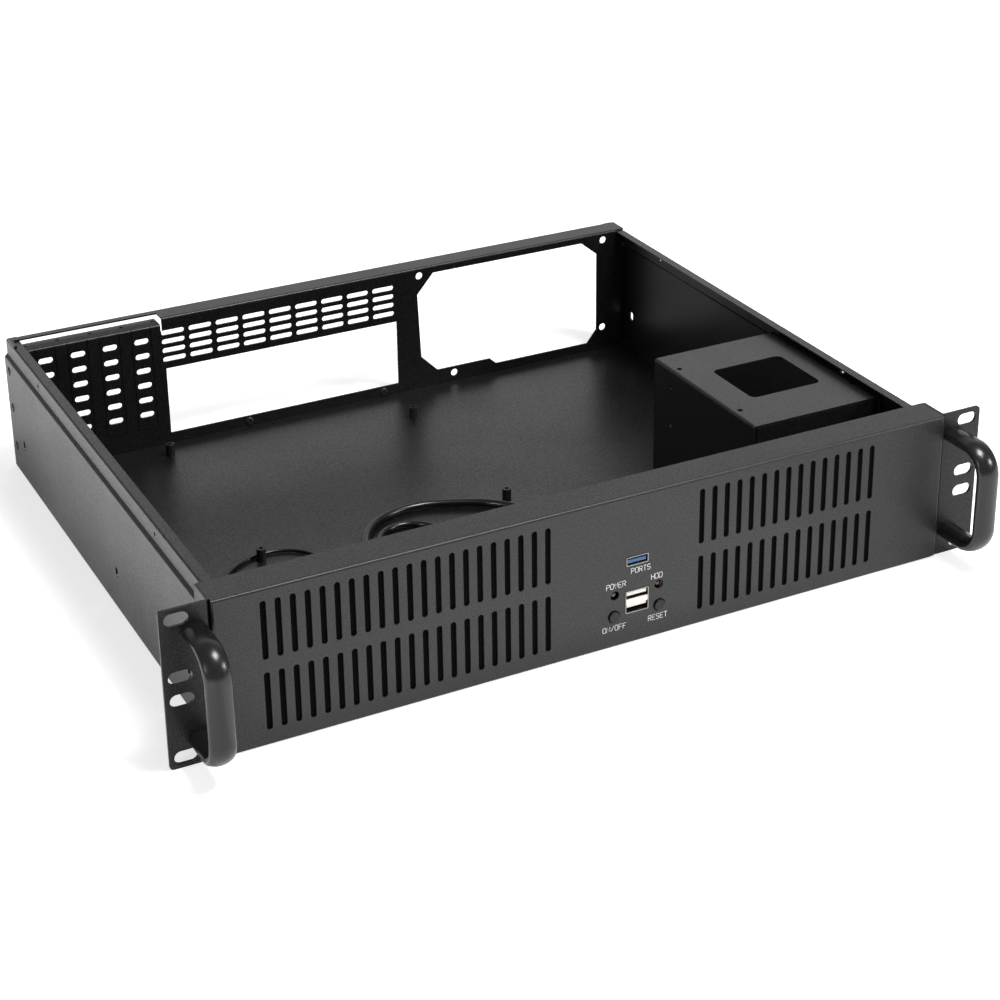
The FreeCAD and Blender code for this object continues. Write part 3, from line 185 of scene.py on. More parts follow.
# a skin's colour goes from dark to light with the flecks, its roughness between two values with the drift
def skin(name, dark, light, rough=(0.5, 0.56), grain=1500.0, fleck=2600.0, bump=0.15, depth=0.05,
         sparkle=0.0, gloss=0.5, depthShade=None, **plain):
    material = bpy.data.materials.new(name)
    material.use_nodes = True
    tree = material.node_tree
    shader = tree.nodes["Principled BSDF"]
    place = tree.nodes.new("ShaderNodeTexCoord")
    group = tree.nodes.new("ShaderNodeGroup")
    group.node_tree = coatGrain
    group.inputs["Grain Scale"].default_value = grain
    group.inputs["Fleck Scale"].default_value = fleck
    tree.links.new(place.outputs["Object"], group.inputs["Vector"])
    ramp = tree.nodes.new("ShaderNodeValToRGB")
    ramp.color_ramp.elements[0].color = (*dark, 1)
    ramp.color_ramp.elements[1].color = (*light, 1)
    tree.links.new(group.outputs["Fleck"], ramp.inputs["Fac"])
    colour = ramp.outputs["Color"]
    if depthShade:  # painted shade: from one depth behind the ears' face to another, the colour sinks to a share of itself, standing in for the shade deeper in hollows
        near, far, shadeShare = depthShade
        axis = tree.nodes.new("ShaderNodeSeparateXYZ")
        tree.links.new(place.outputs["Object"], axis.inputs["Vector"])
        paintedShade = tree.nodes.new("ShaderNodeVectorMath")
        paintedShade.operation = "SCALE"
        tree.links.new(colour, paintedShade.inputs[0])
        depths = (at(0, near, 0).y, at(0, far, 0).y)
        tree.links.new(spreadNode(tree, axis.outputs["Y"], *depths, 1, shadeShare), paintedShade.inputs["Scale"])
        colour = paintedShade.outputs["Vector"]
    tree.links.new(colour, shader.inputs["Base Color"])
    tree.links.new(spreadNode(tree, group.outputs["Drift"], 0, 1, *rough), shader.inputs["Roughness"])
    shader.inputs["Specular IOR Level"].default_value = gloss
    if sparkle > 0:  # a thin clear skin that comes and goes with the flecks
        coat = spreadNode(tree, group.outputs["Fleck"], 0, 1, 0, sparkle)
        tree.links.new(coat, shader.inputs["Coat Weight"])
        shader.inputs["Coat Roughness"].default_value = sum(rough) / 2
    if bump > 0:
        relief = tree.nodes.new("ShaderNodeBump")
        relief.inputs["Strength"].default_value = bump
        relief.inputs["Distance"].default_value = depth * mm
        tree.links.new(group.outputs["Height"], relief.inputs["Height"])
        tree.links.new(relief.outputs["Normal"], shader.inputs["Normal"])
    for socket, value in plain.items():
        shader.inputs[socket.replace("_", " ")].default_value = value
    return material


def grey(value):
    return (value, value, value)


finishes = {
    "powderCoat": skin("powderCoat", grey(0.002), grey(0.011), (0.33, 0.39), 1500.0, 1500.0, bump=0.4,
                       depth=0.08, sparkle=0.44, gloss=0.365),
    "bezelPaint": skin("bezelPaint", grey(0.004), grey(0.014), (0.38, 0.44), 1600.0, 1700.0, bump=0.22,
                       depth=0.06, sparkle=0.36, gloss=0.39),
    "cagePaint": skin("cagePaint", grey(0.003), grey(0.012), (0.31, 0.37), 1600.0, 1700.0, bump=0.3,
                      depth=0.06, sparkle=0.38, gloss=0.43),
    # the ears' coat is darker than the tray's, partly their own paint and partly painted shade from the
    # handles
    "earPaintAndShade": skin("earPaintAndShade", grey(0.002), grey(0.009), (0.36, 0.42), 1600.0, 1700.0, bump=0.2,
                     depth=0.06, sparkle=0.27, gloss=0.295),
    "handlePaint": skin("handlePaint", grey(0.007), grey(0.012), (0.21, 0.26), 1300.0, bump=0.12,
                        depth=0.05, sparkle=0.13, gloss=0.46),
    "fastenerPaint": skin("fastenerPaint", grey(0.010), grey(0.018), (0.28, 0.36), bump=0.2),
    "filterFoam": skin("filterFoam", grey(0.001), grey(0.003), (0.85, 0.95), 900.0, 1100.0, bump=0.5,
                       depth=0.2, gloss=0.05),
    "standoffPaint": skin("standoffPaint", grey(0.006), grey(0.012), (0.35, 0.45), bump=0.2),
    "boardLaminate": skin("boardLaminate", (0.008, 0.022, 0.014), (0.014, 0.034, 0.020), (0.30, 0.38),
                          bump=0.08),
    "portSteel": skin("portSteel", (0.30, 0.29, 0.275), (0.38, 0.37, 0.35), (0.28, 0.36), 700.0,
                      bump=0.05, Metallic=1.0),
    # painted shade: the port plastics darken deeper in the port mouths
    "bluePlastic": skin("bluePlastic", (0.028, 0.095, 0.24), (0.036, 0.118, 0.29), (0.36, 0.42),
                        bump=0.05, depthShade=(-1.4, 1.5, 0.12)),
    "creamPlastic": skin("creamPlastic", (0.78, 0.74, 0.66), (0.84, 0.80, 0.72), (0.40, 0.46),
                         bump=0.05, depthShade=(-1.47, -1.15, 0.02)),
    # painted shade: the button caps darken on their sides behind the face
    "buttonPlastic": skin("buttonPlastic", grey(0.008), grey(0.016), (0.36, 0.42), bump=0.25,
                          depthShade=(-2.9, -2.6, 0.1), gloss=0.30),
    "clearLamp": skin("clearLamp", (0.035, 0.030, 0.022), (0.05, 0.043, 0.032), (0.16, 0.20),
                      bump=0.0, Coat_Weight=0.6),
    "redLamp": skin("redLamp", (0.035, 0.004, 0.004), (0.05, 0.006, 0.006), (0.16, 0.20), bump=0.0,
                    Coat_Weight=0.6),
    "cableJacket": skin("cableJacket", grey(0.003), grey(0.006), (0.20, 0.28), 700.0, bump=0.1),
    "plugPlastic": skin("plugPlastic", grey(0.008), grey(0.014), (0.38, 0.46), bump=0.15),
    "switchPlastic": skin("switchPlastic", grey(0.02), grey(0.03), (0.35, 0.42), bump=0.1),
    # painted shade: the contacts darken deeper in the port
    "contactGold": skin("contactGold", (0.60, 0.42, 0.16), (0.72, 0.52, 0.22), (0.22, 0.3), bump=0.0,
                        depthShade=(-1.0, 0.5, 0.05), Metallic=1.0),
    "legendInk": skin("legendInk", grey(0.82), grey(0.90), (0.5, 0.56), bump=0.05),
}
print("materials made:", len(finishes))

nodeFinish = {
    "chassis_tray": "powderCoat", "rear_panel": "powderCoat", "front_bezel": "bezelPaint",
    "left_ear": "earPaintAndShade", "right_ear": "earPaintAndShade", "drive_cage": "cagePaint",
    "left_handle": "handlePaint", "right_handle": "handlePaint",
    "rear_panel_rivets": "fastenerPaint", "cage_rivets": "fastenerPaint", "ear_screws": "fastenerPaint",
    "handle_screws": "fastenerPaint", "board_screws": "fastenerPaint", "board_spacers": "fastenerPaint",
    "motherboard_standoffs": "standoffPaint", "front_board": "boardLaminate",
    "upper_port_shell": "portSteel", "lower_port_shell": "portSteel",
    "upper_port_core": "bluePlastic", "lower_port_core": "creamPlastic",
    "left_vent_filter": "filterFoam", "right_vent_filter": "filterFoam",
    "power_button": "buttonPlastic", "reset_button": "buttonPlastic",
    "power_switch": "switchPlastic", "reset_switch": "switchPlastic",
    "power_lamp": "clearLamp", "drive_lamp": "redLamp", "lamp_spacers": "plugPlastic",
    "board_plugs": "plugPlastic", "upper_port_plug": "plugPlastic", "lower_port_plug": "plugPlastic",
    "switch_leads_plug": "plugPlastic", "upper_port_cable": "cableJacket",
    "lower_port_cable": "cableJacket", "switch_leads": "cableJacket",
}
for name, finish in nodeFinish.items():
    node = nodes[name]
    node.data.materials.clear()
    node.data.materials.append(finishes[finish])
print("nodes painted:", len(nodeFinish))


# cables, on the same points as their routes in the part's source

cableSizes = {
    "upper_port_cable": {"diameter": 5.0, "length": 373.3, "plug": "upper_port_plug", "points": [
        (18.9, 21, 49.4), (18.9, 36, 49.4), (20.5, 53, 41), (24.5, 68, 25), (31, 84, 10),
        (37.5, 104, 3.7), (41, 127, 3.7), (37, 151, 3.7), (22.5, 170.5, 3.7), (1.5, 182, 3.7),
        (-20.5, 189.5, 3.7), (-43.5, 186.5, 3.7), (-61, 172.5, 3.7), (-71, 151, 3.7), (-77, 128, 3.7),
        (-82, 105, 4.6), (-86, 84, 5), (-89, 66, 5)]},
    "lower_port_cable": {"diameter": 4.0, "length": 278.4, "plug": "lower_port_plug", "points": [
        (18.9, 21, 25.2), (18.9, 33, 25.2), (14, 47, 18.5), (7, 61, 8.5), (0, 77, 3.2), (-7, 95, 3.2),
        (-12.5, 114, 3.2), (-16, 133.5, 3.2), (-18.5, 151.5, 3.2), (-24, 165.5, 3.2), (-36.5, 172.8, 3.2),
        (-50.5, 170.3, 3.2), (-59.8, 159, 3.2), (-60.5, 143, 3.2), (-58.5, 126, 3.2), (-55, 109.5, 3.6),
        (-49.5, 94, 3.6), (-44, 81, 3.6)]},
    "switch_leads": {"diameter": 2.2, "length": 457.7, "plug": "switch_leads_plug", "points": [
        (3, 21, 40), (3, 30, 40), (-4, 40, 32), (-15, 46, 17), (-29, 48, 5.5), (-45, 45, 2.3),
        (-64, 38.5, 2.3), (-84, 32, 2.3), (-106, 29.5, 2.3), (-128, 33, 2.3), (-147, 45, 2.3),
        (-160.5, 64, 2.3), (-168, 87, 2.3), (-169.5, 111, 2.3), (-165.5, 134.5, 2.3), (-157, 156.5, 2.3),
        (-142.5, 173, 2.3), (-122.5, 180.8, 2.3), (-103.5, 176, 2.3), (-94, 160, 2.3), (-92.5, 140, 2.3),
        (-96, 120, 2.3), (-102.5, 102, 3.6), (-109.5, 87, 3.6)]},
}


def makeCable(name):
    sizes = cableSizes[name]
    curve = bpy.data.curves.new(name + "_line", "CURVE")
    curve.dimensions = "3D"
    curve.bevel_depth = sizes["diameter"] / 2 * mm
    curve.bevel_resolution = 5
    curve.resolution_u = 10
    curve.use_fill_caps = True
    spline = curve.splines.new("NURBS")
    spline.points.add(len(sizes["points"]) - 1)
    for control, point in zip(spline.points, sizes["points"]):
        control.co = (*at(*point), 1)
    spline.order_u = 3
    spline.use_endpoint_u = True
    curve.materials.append(finishes["cableJacket"])
    cable = bpy.data.objects.new(name + "_jacket", curve)
    bpy.context.scene.collection.objects.link(cable)
    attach(cable, "case")
    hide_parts(name)


for name in ("upper_port_cable", "lower_port_cable", "switch_leads"):
    makeCable(name)
print("cables laid")


# printed words beside the ports, lamps and buttons, drawn as single strokes

legendSizes = {
    "face": -2.0, "letterWidth": 1.8, "letterHeight": 3.1, "pitch": 2.45, "stroke": 0.27, "proud": 0.05,
    "grid": (4, 6),
    "words": [("PORTS", 21.1, 43.4), ("POWER", 6.2, 37.2), ("HDD", 31.0, 36.7), ("ON/OFF", 5.4, 11.8),
              ("RESET", 31.9, 11.9)],
}

strokes = {  # on a grid 4 wide and 6 high
    "P": [[(0, 0), (0, 6), (3, 6), (4, 5), (4, 4), (3, 3), (0, 3)]],
    "O": [[(1, 0), (0, 1), (0, 5), (1, 6), (3, 6), (4, 5), (4, 1), (3, 0), (1, 0)]],
    "W": [[(0, 6), (0.6, 0), (2, 5), (3.4, 0), (4, 6)]],
    "E": [[(4, 0), (0, 0), (0, 6), (4, 6)], [(0, 3), (3, 3)]],
    "R": [[(0, 0), (0, 6), (3, 6), (4, 5), (4, 4), (3, 3), (0, 3)], [(2, 3), (4, 0)]],
    "H": [[(0, 0), (0, 6)], [(4, 0), (4, 6)], [(0, 3), (4, 3)]],
    "D": [[(-0.3, 0), (-0.3, 6), (2.8, 6), (4, 4.6), (4, 1.4), (2.8, 0), (-0.3, 0)]],
    "N": [[(0, 0), (0, 6), (4, 0), (4, 6)]],
    "F": [[(0, 0), (0, 6), (4, 6)], [(0, 3), (3, 3)]],
    "S": [[(0, 1), (1, 0), (3, 0), (4, 1), (4, 2), (3, 3), (1, 3), (0, 4), (0, 5), (1, 6), (3, 6),
           (4, 5)]],
    "T": [[(2, 0), (2, 6)], [(0, 6), (4, 6)]],
    "/": [[(0, 0), (4, 6)]],
}


def makeLegends():
    sizes = legendSizes
    across, up = sizes["grid"]
    curve = bpy.data.curves.new("legendStrokes", "CURVE")
    curve.dimensions = "3D"
    curve.bevel_depth = sizes["stroke"] / 2 * mm
    curve.bevel_resolution = 2
    curve.use_fill_caps = True
    for word, middle, height in sizes["words"]:
        left = middle - (len(word) - 1) * sizes["pitch"] / 2 - sizes["letterWidth"] / 2
        for place, letter in enumerate(word):
            for stroke in strokes[letter]:
                spline = curve.splines.new("POLY")
                spline.points.add(len(stroke) - 1)
                for control, (u, v) in zip(spline.points, stroke):
                    x = left + place * sizes["pitch"] + u / across * sizes["letterWidth"]
                    z = height + (v / up - 0.5) * sizes["letterHeight"]
                    control.co = (x * mm, 0, z * mm, 1)
    helper = bpy.data.objects.new("legendHelper", curve)
    bpy.context.scene.collection.objects.link(helper)
    mesh = evaluatedMesh(helper, "frontLegends")
    flatten = sizes["proud"] / (sizes["stroke"] / 2)
    for vertex in mesh.vertices:
        vertex.co.y = vertex.co.y * flatten + at(0, sizes["face"], 0).y
    linkMesh("front_legends", mesh, material=finishes["legendInk"])


makeLegends()
print("legends printed")


# fasteners: one template each, set on their places by a geometry node tree

def scatterTree():
    tree = bpy.data.node_groups.new("fastenersOnPoints", "GeometryNodeTree")
    for label, kind, value in (("Points", "Geometry", None), ("Fastener", "Object", None),
                               ("Material", "Material", None), ("Spin", "Float", math.tau),
                               ("Seed", "Int", 7)):
        plug = tree.interface.new_socket(label, in_out="INPUT", socket_type="NodeSocket" + kind)
        if value is not None:
            plug.default_value = value
    tree.interface.new_socket("Mesh", in_out="OUTPUT", socket_type="NodeSocketGeometry")
    add, link = tree.nodes.new, tree.links.new
    source, sink = add("NodeGroupInput"), add("NodeGroupOutput")
    facing = add("GeometryNodeInputNamedAttribute")
    facing.data_type = "FLOAT_VECTOR"
    facing.inputs["Name"].default_value = "facing"
    turn = add("FunctionNodeAlignRotationToVector")
    turn.axis = "Z"
    link(facing.outputs["Attribute"], turn.inputs["Vector"])
    chance = add("FunctionNodeRandomValue")
    chance.data_type = "FLOAT"
    link(source.outputs["Spin"], chance.inputs["Max"])
    link(source.outputs["Seed"], chance.inputs["Seed"])
    about = add("FunctionNodeAxisAngleToRotation")
    about.inputs["Axis"].default_value = (0, 0, 1)
    link(chance.outputs["Value"], about.inputs["Angle"])
    both = add("FunctionNodeRotateRotation")
    both.rotation_space = "LOCAL"
    link(turn.outputs["Rotation"], both.inputs["Rotation"])
    link(about.outputs["Rotation"], both.inputs["Rotate By"])
    piece = add("GeometryNodeObjectInfo")
    link(source.outputs["Fastener"], piece.inputs["Object"])
    onPoints = add("GeometryNodeInstanceOnPoints")
    link(source.outputs["Points"], onPoints.inputs["Points"])
    link(piece.outputs["Geometry"], onPoints.inputs["Instance"])
    link(both.outputs["Rotation"], onPoints.inputs["Rotation"])
    real = add("GeometryNodeRealizeInstances")
    link(onPoints.outputs["Instances"], real.inputs["Geometry"])
    paint = add("GeometryNodeSetMaterial")
    link(real.outputs["Geometry"], paint.inputs["Geometry"])
    link(source.outputs["Material"], paint.inputs["Material"])
    link(paint.outputs["Geometry"], sink.inputs["Mesh"])
    return tree


fastenersOnPoints = scatterTree()


# places are pairs of a point in mm and the way it faces
def scatter(name, fastener, places, material, replaced=(), spin=math.tau, seed=7):
    mesh = bpy.data.meshes.new(name + "Points")
    mesh.from_pydata([at(*point) for point, facing in places], [], [])
    ways = mesh.attributes.new("facing", "FLOAT_VECTOR", "POINT")
    for row, (point, facing) in zip(ways.data, places):
        row.vector = facing
    helper = bpy.data.objects.new(name + "Points", mesh)
    bpy.context.scene.collection.objects.link(helper)
    modifier = helper.modifiers.new("place", "NODES")
    modifier.node_group = fastenersOnPoints
    values = {"Fastener": fastener, "Material": finishes[material], "Spin": spin, "Seed": seed}
    for socket in fastenersOnPoints.interface.items_tree:
        if socket.item_type == "SOCKET" and socket.in_out == "INPUT" and socket.name in values:
            modifier[socket.identifier] = values[socket.name]
    piece = linkMesh(name, evaluatedMesh(helper, name))
    if replaced:
        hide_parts(*replaced)


def lathe(profile, segments=24):  # turns (radius, height) pairs in mm about Z
    work = bmesh.new()
    rings = []
    for radius, height in profile:
        if radius == 0:
            rings.append([work.verts.new((0, 0, height * mm))])
        else:
            r, z = radius * mm, height * mm
            angles = [math.tau * i / segments for i in range(segments)]
            rings.append([work.verts.new((r * math.cos(a), r * math.sin(a), z)) for a in angles])
    for lower, upper in zip(rings, rings[1:]):
        for i in range(segments):
            j = (i + 1) % segments
            ring = [lower[i % len(lower)], lower[j % len(lower)],
                    upper[j % len(upper)], upper[i % len(upper)]]
            corners = []
            for vertex in ring:
                if vertex not in corners:
                    corners.append(vertex)
            if len(corners) > 2:
                work.faces.new(corners)
    bmesh.ops.recalc_face_normals(work, faces=work.faces)
    mesh = bpy.data.meshes.new("turned")
    work.to_mesh(mesh)
    work.free()
    return mesh


recessSizes = {"reach": 0.56, "width": 0.13, "depth": 0.55, "above": 0.5, "taper": 0.55, "pinch": 0.6}


def crossRecess(mesh, radius, top):  # cuts a tapered cross into a head
    s = recessSizes
    reach, width = radius * s["reach"], radius * s["width"]
    cutter = bmesh.new()
    for turned in (0, 1):
        corners = []
        for height, scale in ((top + s["above"], 1.0), (top - top * s["depth"], s["taper"])):
            for x, y in ((-reach, -width), (reach, -width), (reach, width), (-reach, width)):
                u, v = x * scale, y * (s["pinch"] + (1 - s["pinch"]) * scale)
                if turned:
                    u, v = -v, u
                corners.append(cutter.verts.new((u * mm, v * mm, height * mm)))
        for ring in ((0, 1, 2, 3), (7, 6, 5, 4), (0, 4, 5, 1), (1, 5, 6, 2), (2, 6, 7, 3), (3, 7, 4, 0)):
            cutter.faces.new([corners[i] for i in ring])
    bmesh.ops.recalc_face_normals(cutter, faces=cutter.faces)
    cutterMesh = bpy.data.meshes.new("recessCutter")
    cutter.to_mesh(cutterMesh)
    cutter.free()
    head = bpy.data.objects.new("headHelper", mesh)
    tool = bpy.data.objects.new("recessCutter", cutterMesh)
    for helper in (head, tool):
        bpy.context.scene.collection.objects.link(helper)
    cut = head.modifiers.new("recess", "BOOLEAN")
    cut.operation = "DIFFERENCE"
    cut.solver = "EXACT"
    cut.use_self = True
    cut.object = tool
    made = evaluatedMesh(head, "crossHead")
    bpy.data.objects.remove(tool)
    return made


def template(name, mesh, degrees=35):
    smoothByAngle(mesh, degrees)
    return bpy.data.objects.new(name, mesh)


rivetSizes = {
    "radius": 2.8, "height": 0.8, "bore": 0.75, "boreDepth": 0.45, "boreRim": (0.12, 0.97),
    "dome": ((0.55, 0.96), (0.8, 0.78), (0.94, 0.48), (1.0, 0.16), (0.98, 0.0)),
    "shank": 1.6, "reach": 2.0, "tip": 0.7,
    "wall": 214.3, "sideY": 357.0, "sideZ": (67.0, 42.8, 16.8),
    "rearFace": 346.7, "lipX": (-190.0, -65.0, 30.0), "lipZ": 4.0,
    "cageX": (131.0, 203.5), "cageY": (65.4, 141.4), "cageFoot": 2.0,
}


def makeRivets():
    s = rivetSizes
    r, h, rim = s["radius"], s["height"], s["boreRim"]
    profile = [(0, h - s["boreDepth"]), (s["bore"], h - s["boreDepth"]), (s["bore"], h * rim[1]),
               (s["bore"] + rim[0], h)]
    profile += [(r * out, h * up) for out, up in s["dome"]]
    profile += [(s["shank"], 0.0), (s["shank"], -s["reach"]), (s["shank"] * s["tip"], -s["reach"]),
                (0, -s["reach"])]
    blind = template("rivetTemplate", lathe(profile))
    places = []
    for side in (-1, 1):
        places += [((side * s["wall"], s["sideY"], z), (side, 0, 0)) for z in s["sideZ"]]
    places += [((x, s["rearFace"], s["lipZ"]), (0, -1, 0)) for x in s["lipX"]]
    scatter("rear_rivet_heads", blind, places, "fastenerPaint", ["rear_panel_rivets"])
    places = [((x, y, s["cageFoot"]), (0, 0, 1)) for x in s["cageX"] for y in s["cageY"]]
    scatter("cage_rivet_heads", blind, places, "fastenerPaint", ["cage_rivets"], seed=3)


makeRivets()

screwSizes = {
    "pitch": 0.6, "fewestTurns": 3, "root": 0.86, "tip": 0.8, "step": 0.02, "rimHeight": 0.3,
    "shoulder": ((0.45, 0.99), (0.72, 0.35), 0.9), "smoothBelow": 30,
    "earX": 216.8, "earY": 10.1, "earZ": (20.0, 66.0),
    "earHead": 2.7, "earHeight": 1.3, "earShank": 1.5, "earReach": 5.99, "earCrown": 0.55,
    "handleX": 224.2, "handleY": 1.5, "handleZ": (74.3, 14.3),
    "handleHead": 3.8, "handleHeight": 2.4, "handleShank": 2.0, "handleReach": 9.5, "handleCrown": 0.4,
    "boardX": (-1.1, 38.9), "boardY": 14.6, "boardZ": (13.3, 55.0),
    "boardHead": 2.7, "boardHeight": 1.9, "boardShank": 1.25, "boardReach": 6.6, "boardCrown": 0.4,
}


def screwTemplate(name, head, height, shank, reach, crown):
    s = screwSizes
    flat, fall, edge = s["shoulder"]
    profile = [(0, height), (head * flat[0], height * flat[1]),
               (head * fall[0], height * (1 - crown * fall[1])), (head * edge, height * (1 - crown)),
               (head, height * s["rimHeight"]), (head, 0.0), (shank, 0.0)]
    turns = max(s["fewestTurns"], int(reach / s["pitch"]))
    for i in range(turns):
        low = -reach * (i + 0.5) / turns
        profile += [(shank, -reach * i / turns - s["step"]), (shank * s["root"], low)]
    profile += [(shank * s["tip"], -reach), (0, -reach)]
    return template(name, crossRecess(lathe(profile), head, height), s["smoothBelow"])


def makeScrews():
    s = screwSizes
    sides = (-1, 1)
    setting = {
        "ear": (5, [((side * s["earX"], s["earY"], z), (side, 0, 0))
                    for side in sides for z in s["earZ"]]),
        "handle": (9, [((side * s["handleX"], s["handleY"], z), (0, 1, 0))
                       for side in sides for z in s["handleZ"]]),
        "board": (4, [((x, s["boardY"], z), (0, 1, 0)) for x in s["boardX"] for z in s["boardZ"]]),
    }
    for kind, (seed, places) in setting.items():
        sizes = [s[kind + part] for part in ("Head", "Height", "Shank", "Reach", "Crown")]
        screw = screwTemplate(kind + "ScrewTemplate", *sizes)
        scatter(kind + "_screw_heads", screw, places, "fastenerPaint",
                [kind + "_screws"], seed=seed)


makeScrews()
print("rivets and screws set")

contactSizes = {
    "front": -1.0, "length": 4.6, "width": 1.0, "thickness": 0.35, "bevel": 0.12, "middle": 18.9,
    "upper": {"x": (-4.0, -2.0, 0.0, 2.0, 4.0), "z": (50.3,),
              "slot": "blue_plastic", "finish": "plugPlastic"},
    "lower": {"x": (-3.5, -1.0, 1.0, 3.5), "z": (28.6, 21.6),
              "slot": "cream_plastic", "finish": "contactGold"},
}


def makeContacts():  # the springs on the ports' tongues
    s = contactSizes
    work = bmesh.new()
    bmesh.ops.create_cube(work, size=1.0)
    bmesh.ops.scale(work, vec=Vector((s["width"], s["length"], s["thickness"])) * mm, verts=work.verts)
    bmesh.ops.bevel(work, geom=work.edges[:], offset=s["bevel"] * mm, segments=2, affect="EDGES")
    mesh = bpy.data.meshes.new("contactTemplate")
    work.to_mesh(mesh)
    work.free()
    spring = template("contactTemplate", mesh)
    for name in ("upper", "lower"):
        port = s[name]
        y = s["front"] + s["length"] / 2
        places = [((s["middle"] + x, y, z), (0, 0, 1)) for x in port["x"] for z in port["z"]]
        scatter(name + "_port_contacts", spring, places, port["finish"], spin=0.0)


makeContacts()
print("port contacts set")


# floor, backdrop and light

stageSizes = {
    "reach": 9.0, "white": 0.86, "roughness": 0.9, "gloss": 0.1,
    "seen": 0.60, "unseen": 0.31,  # the floor's own light, for the camera and for the paint
    # shade is a painted shadow on the floor behind the case; leftGlow is painted light on the floor at
    # the left
    "shade": 0.3, "shadeFrom": (0.13, 0.24), "shadeTo": (0.8, 0.5), "shadeSide": (-0.27, -0.19),
    "leftGlow": 1.0, "leftFrom": (-0.22, -0.42),
    "room": 0.24, "backdrop": 0.85,
    "backFrom": (0.25, 0.65), "backTop": (0.85, 0.5), "backSide": (-0.35, 0.05),
}


def makeStage():
    s = stageSizes
    r = s["reach"]
    mesh = bpy.data.meshes.new("studioFloor")
    mesh.from_pydata([(-r, -r, 0), (r, -r, 0), (r, r, 0), (-r, r, 0)], [], [(0, 1, 2, 3)])
    floor = bpy.data.objects.new("studioFloor", mesh)
    bpy.context.scene.collection.objects.link(floor)
    material = bpy.data.materials.new("studioFloor")
    material.use_nodes = True
    tree = material.node_tree
    shader = tree.nodes["Principled BSDF"]
    shader.inputs["Roughness"].default_value = s["roughness"]
    shader.inputs["Specular IOR Level"].default_value = s["gloss"]
    shader.inputs["Emission Color"].default_value = (1, 1, 1, 1)
    camera = tree.nodes.new("ShaderNodeLightPath").outputs["Is Camera Ray"]
    place = tree.nodes.new("ShaderNodeTexCoord")
    axis = tree.nodes.new("ShaderNodeSeparateXYZ")
    tree.links.new(place.outputs["Object"], axis.inputs["Vector"])

    # painted shadow: a strip behind the case is darker where only the paint sees it, standing in for the
    # case's cast shadow
    near = spreadNode(tree, axis.outputs["Y"], *s["shadeFrom"])
    far = spreadNode(tree, axis.outputs["Y"], *s["shadeTo"])
    beside = spreadNode(tree, axis.outputs["X"], *s["shadeSide"])
    shadowStrip = mathNode(tree, "MULTIPLY", mathNode(tree, "MULTIPLY", near, far), beside)
    hidden = mathNode(tree, "SUBTRACT", shadowStrip, camera, clamp=True)
    shadeShare = mathNode(tree, "MULTIPLY_ADD", hidden, s["shade"] - 1.0, 1.0)
    tree.links.new(mathNode(tree, "MULTIPLY", shadeShare, s["white"]), shader.inputs["Base Color"])

    # painted light: the floor at the left glows brighter where only the paint sees it, to light the left
    # wall
    left = spreadNode(tree, axis.outputs["X"], *s["leftFrom"])
    glowPatch = mathNode(tree, "SUBTRACT", left, camera, clamp=True)
    lift = mathNode(tree, "MULTIPLY_ADD", camera, s["seen"] - s["unseen"], s["unseen"])
    glow = mathNode(tree, "MULTIPLY_ADD", glowPatch, s["leftGlow"], mathNode(tree, "MULTIPLY", lift, shadeShare))
    tree.links.new(glow, shader.inputs["Emission Strength"])
    mesh.materials.append(material)


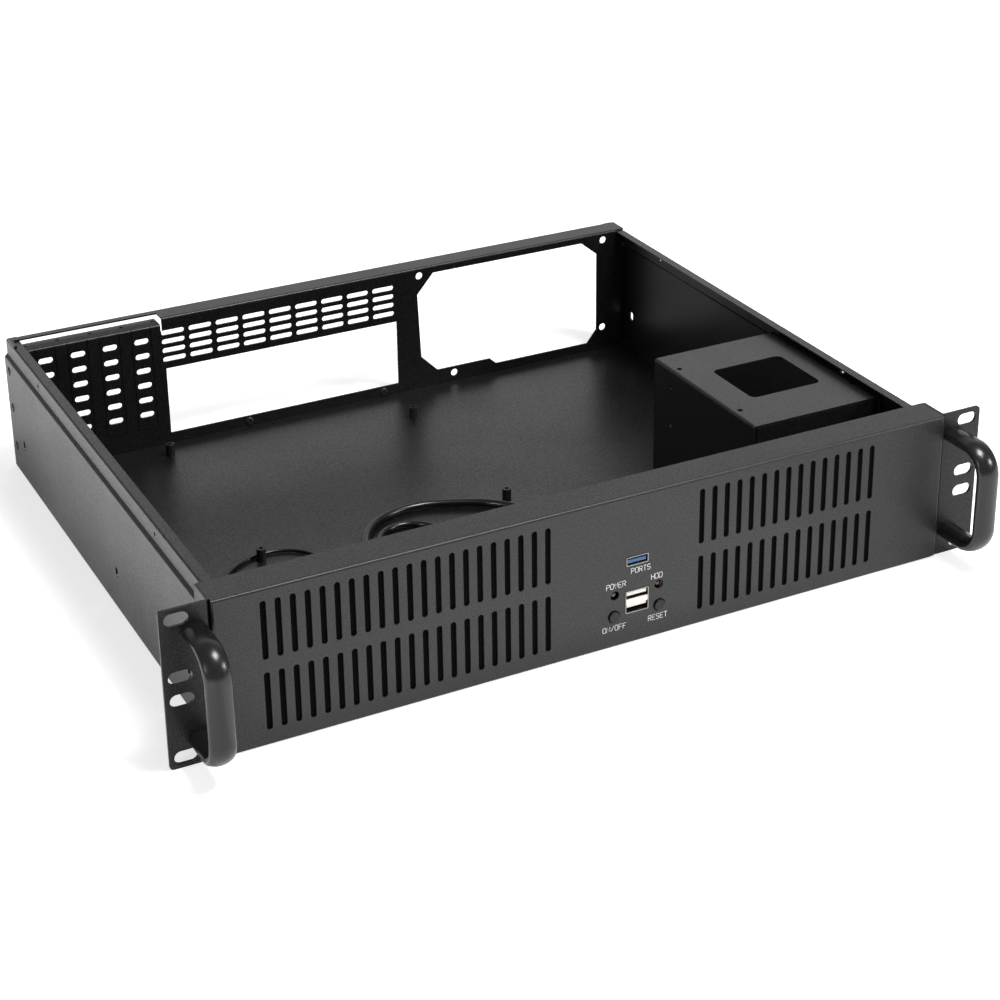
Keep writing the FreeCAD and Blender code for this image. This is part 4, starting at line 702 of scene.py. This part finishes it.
def makeWorld():
    s = stageSizes
    world = bpy.data.worlds.new("studioWorld")
    bpy.context.scene.world = world
    world.use_nodes = True
    tree = world.node_tree
    tree.nodes.clear()
    out = tree.nodes.new("ShaderNodeOutputWorld")
    soft = tree.nodes.new("ShaderNodeBackground")
    white = tree.nodes.new("ShaderNodeBackground")
    white.inputs["Color"].default_value = (1, 1, 1, 1)
    place = tree.nodes.new("ShaderNodeTexCoord")
    axis = tree.nodes.new("ShaderNodeSeparateXYZ")
    tree.links.new(place.outputs["Generated"], axis.inputs["Vector"])
    behind = spreadNode(tree, axis.outputs["Y"], *s["backFrom"])
    below = spreadNode(tree, axis.outputs["Z"], *s["backTop"])
    beside = spreadNode(tree, axis.outputs["X"], *s["backSide"])
    backdrop = mathNode(tree, "MULTIPLY", mathNode(tree, "MULTIPLY", behind, below), beside)
    ramp = tree.nodes.new("ShaderNodeValToRGB")
    ramp.color_ramp.elements[0].color = (*grey(s["room"]), 1)
    ramp.color_ramp.elements[1].color = (*grey(s["backdrop"]), 1)
    tree.links.new(backdrop, ramp.inputs["Fac"])
    tree.links.new(ramp.outputs["Color"], soft.inputs["Color"])
    path = tree.nodes.new("ShaderNodeLightPath")
    mix = tree.nodes.new("ShaderNodeMixShader")
    tree.links.new(path.outputs["Is Camera Ray"], mix.inputs["Fac"])
    tree.links.new(soft.outputs["Background"], mix.inputs[1])
    tree.links.new(white.outputs["Background"], mix.inputs[2])
    tree.links.new(mix.outputs["Shader"], out.inputs["Surface"])


lampSizes = {
    "leftBox": {"place": (-1.7, -1.1, 1.0), "aim": (-0.1, -0.1, 0.05), "size": (0.42, 0.42),
                "power": 6.5},
    "rightBox": {"place": (1.3, -1.15, 0.85), "aim": (-0.1, -0.1, 0.05), "size": (0.34, 0.34),
                 "power": 9.5},
    "topBox": {"place": (0.42, -0.55, 1.6), "aim": (0, -0.1, 0.05), "size": (0.6, 0.5), "power": 24},
    "floorCard": {"place": (-0.008, -0.34, 0.003), "aim": (-0.008, -0.34, 1.0), "size": (0.355, 0.32),
                  "power": 0.15},  # lies in front of the bezel and shines up
}


def makeLamps():
    for name, s in lampSizes.items():
        data = bpy.data.lights.new(name, "AREA")
        data.shape = "RECTANGLE"
        data.size, data.size_y = s["size"]
        data.energy = s["power"]
        lamp = bpy.data.objects.new(name, data)
        bpy.context.scene.collection.objects.link(lamp)
        lamp.location = s["place"]
        lamp.visible_camera = False
        lamp.rotation_mode = "QUATERNION"
        lamp.rotation_quaternion = (Vector(s["aim"]) - Vector(s["place"])).to_track_quat("-Z", "Y")


makeStage()
makeWorld()
makeLamps()
bpy.context.scene.view_settings.view_transform = "Standard"
print("stage lit")
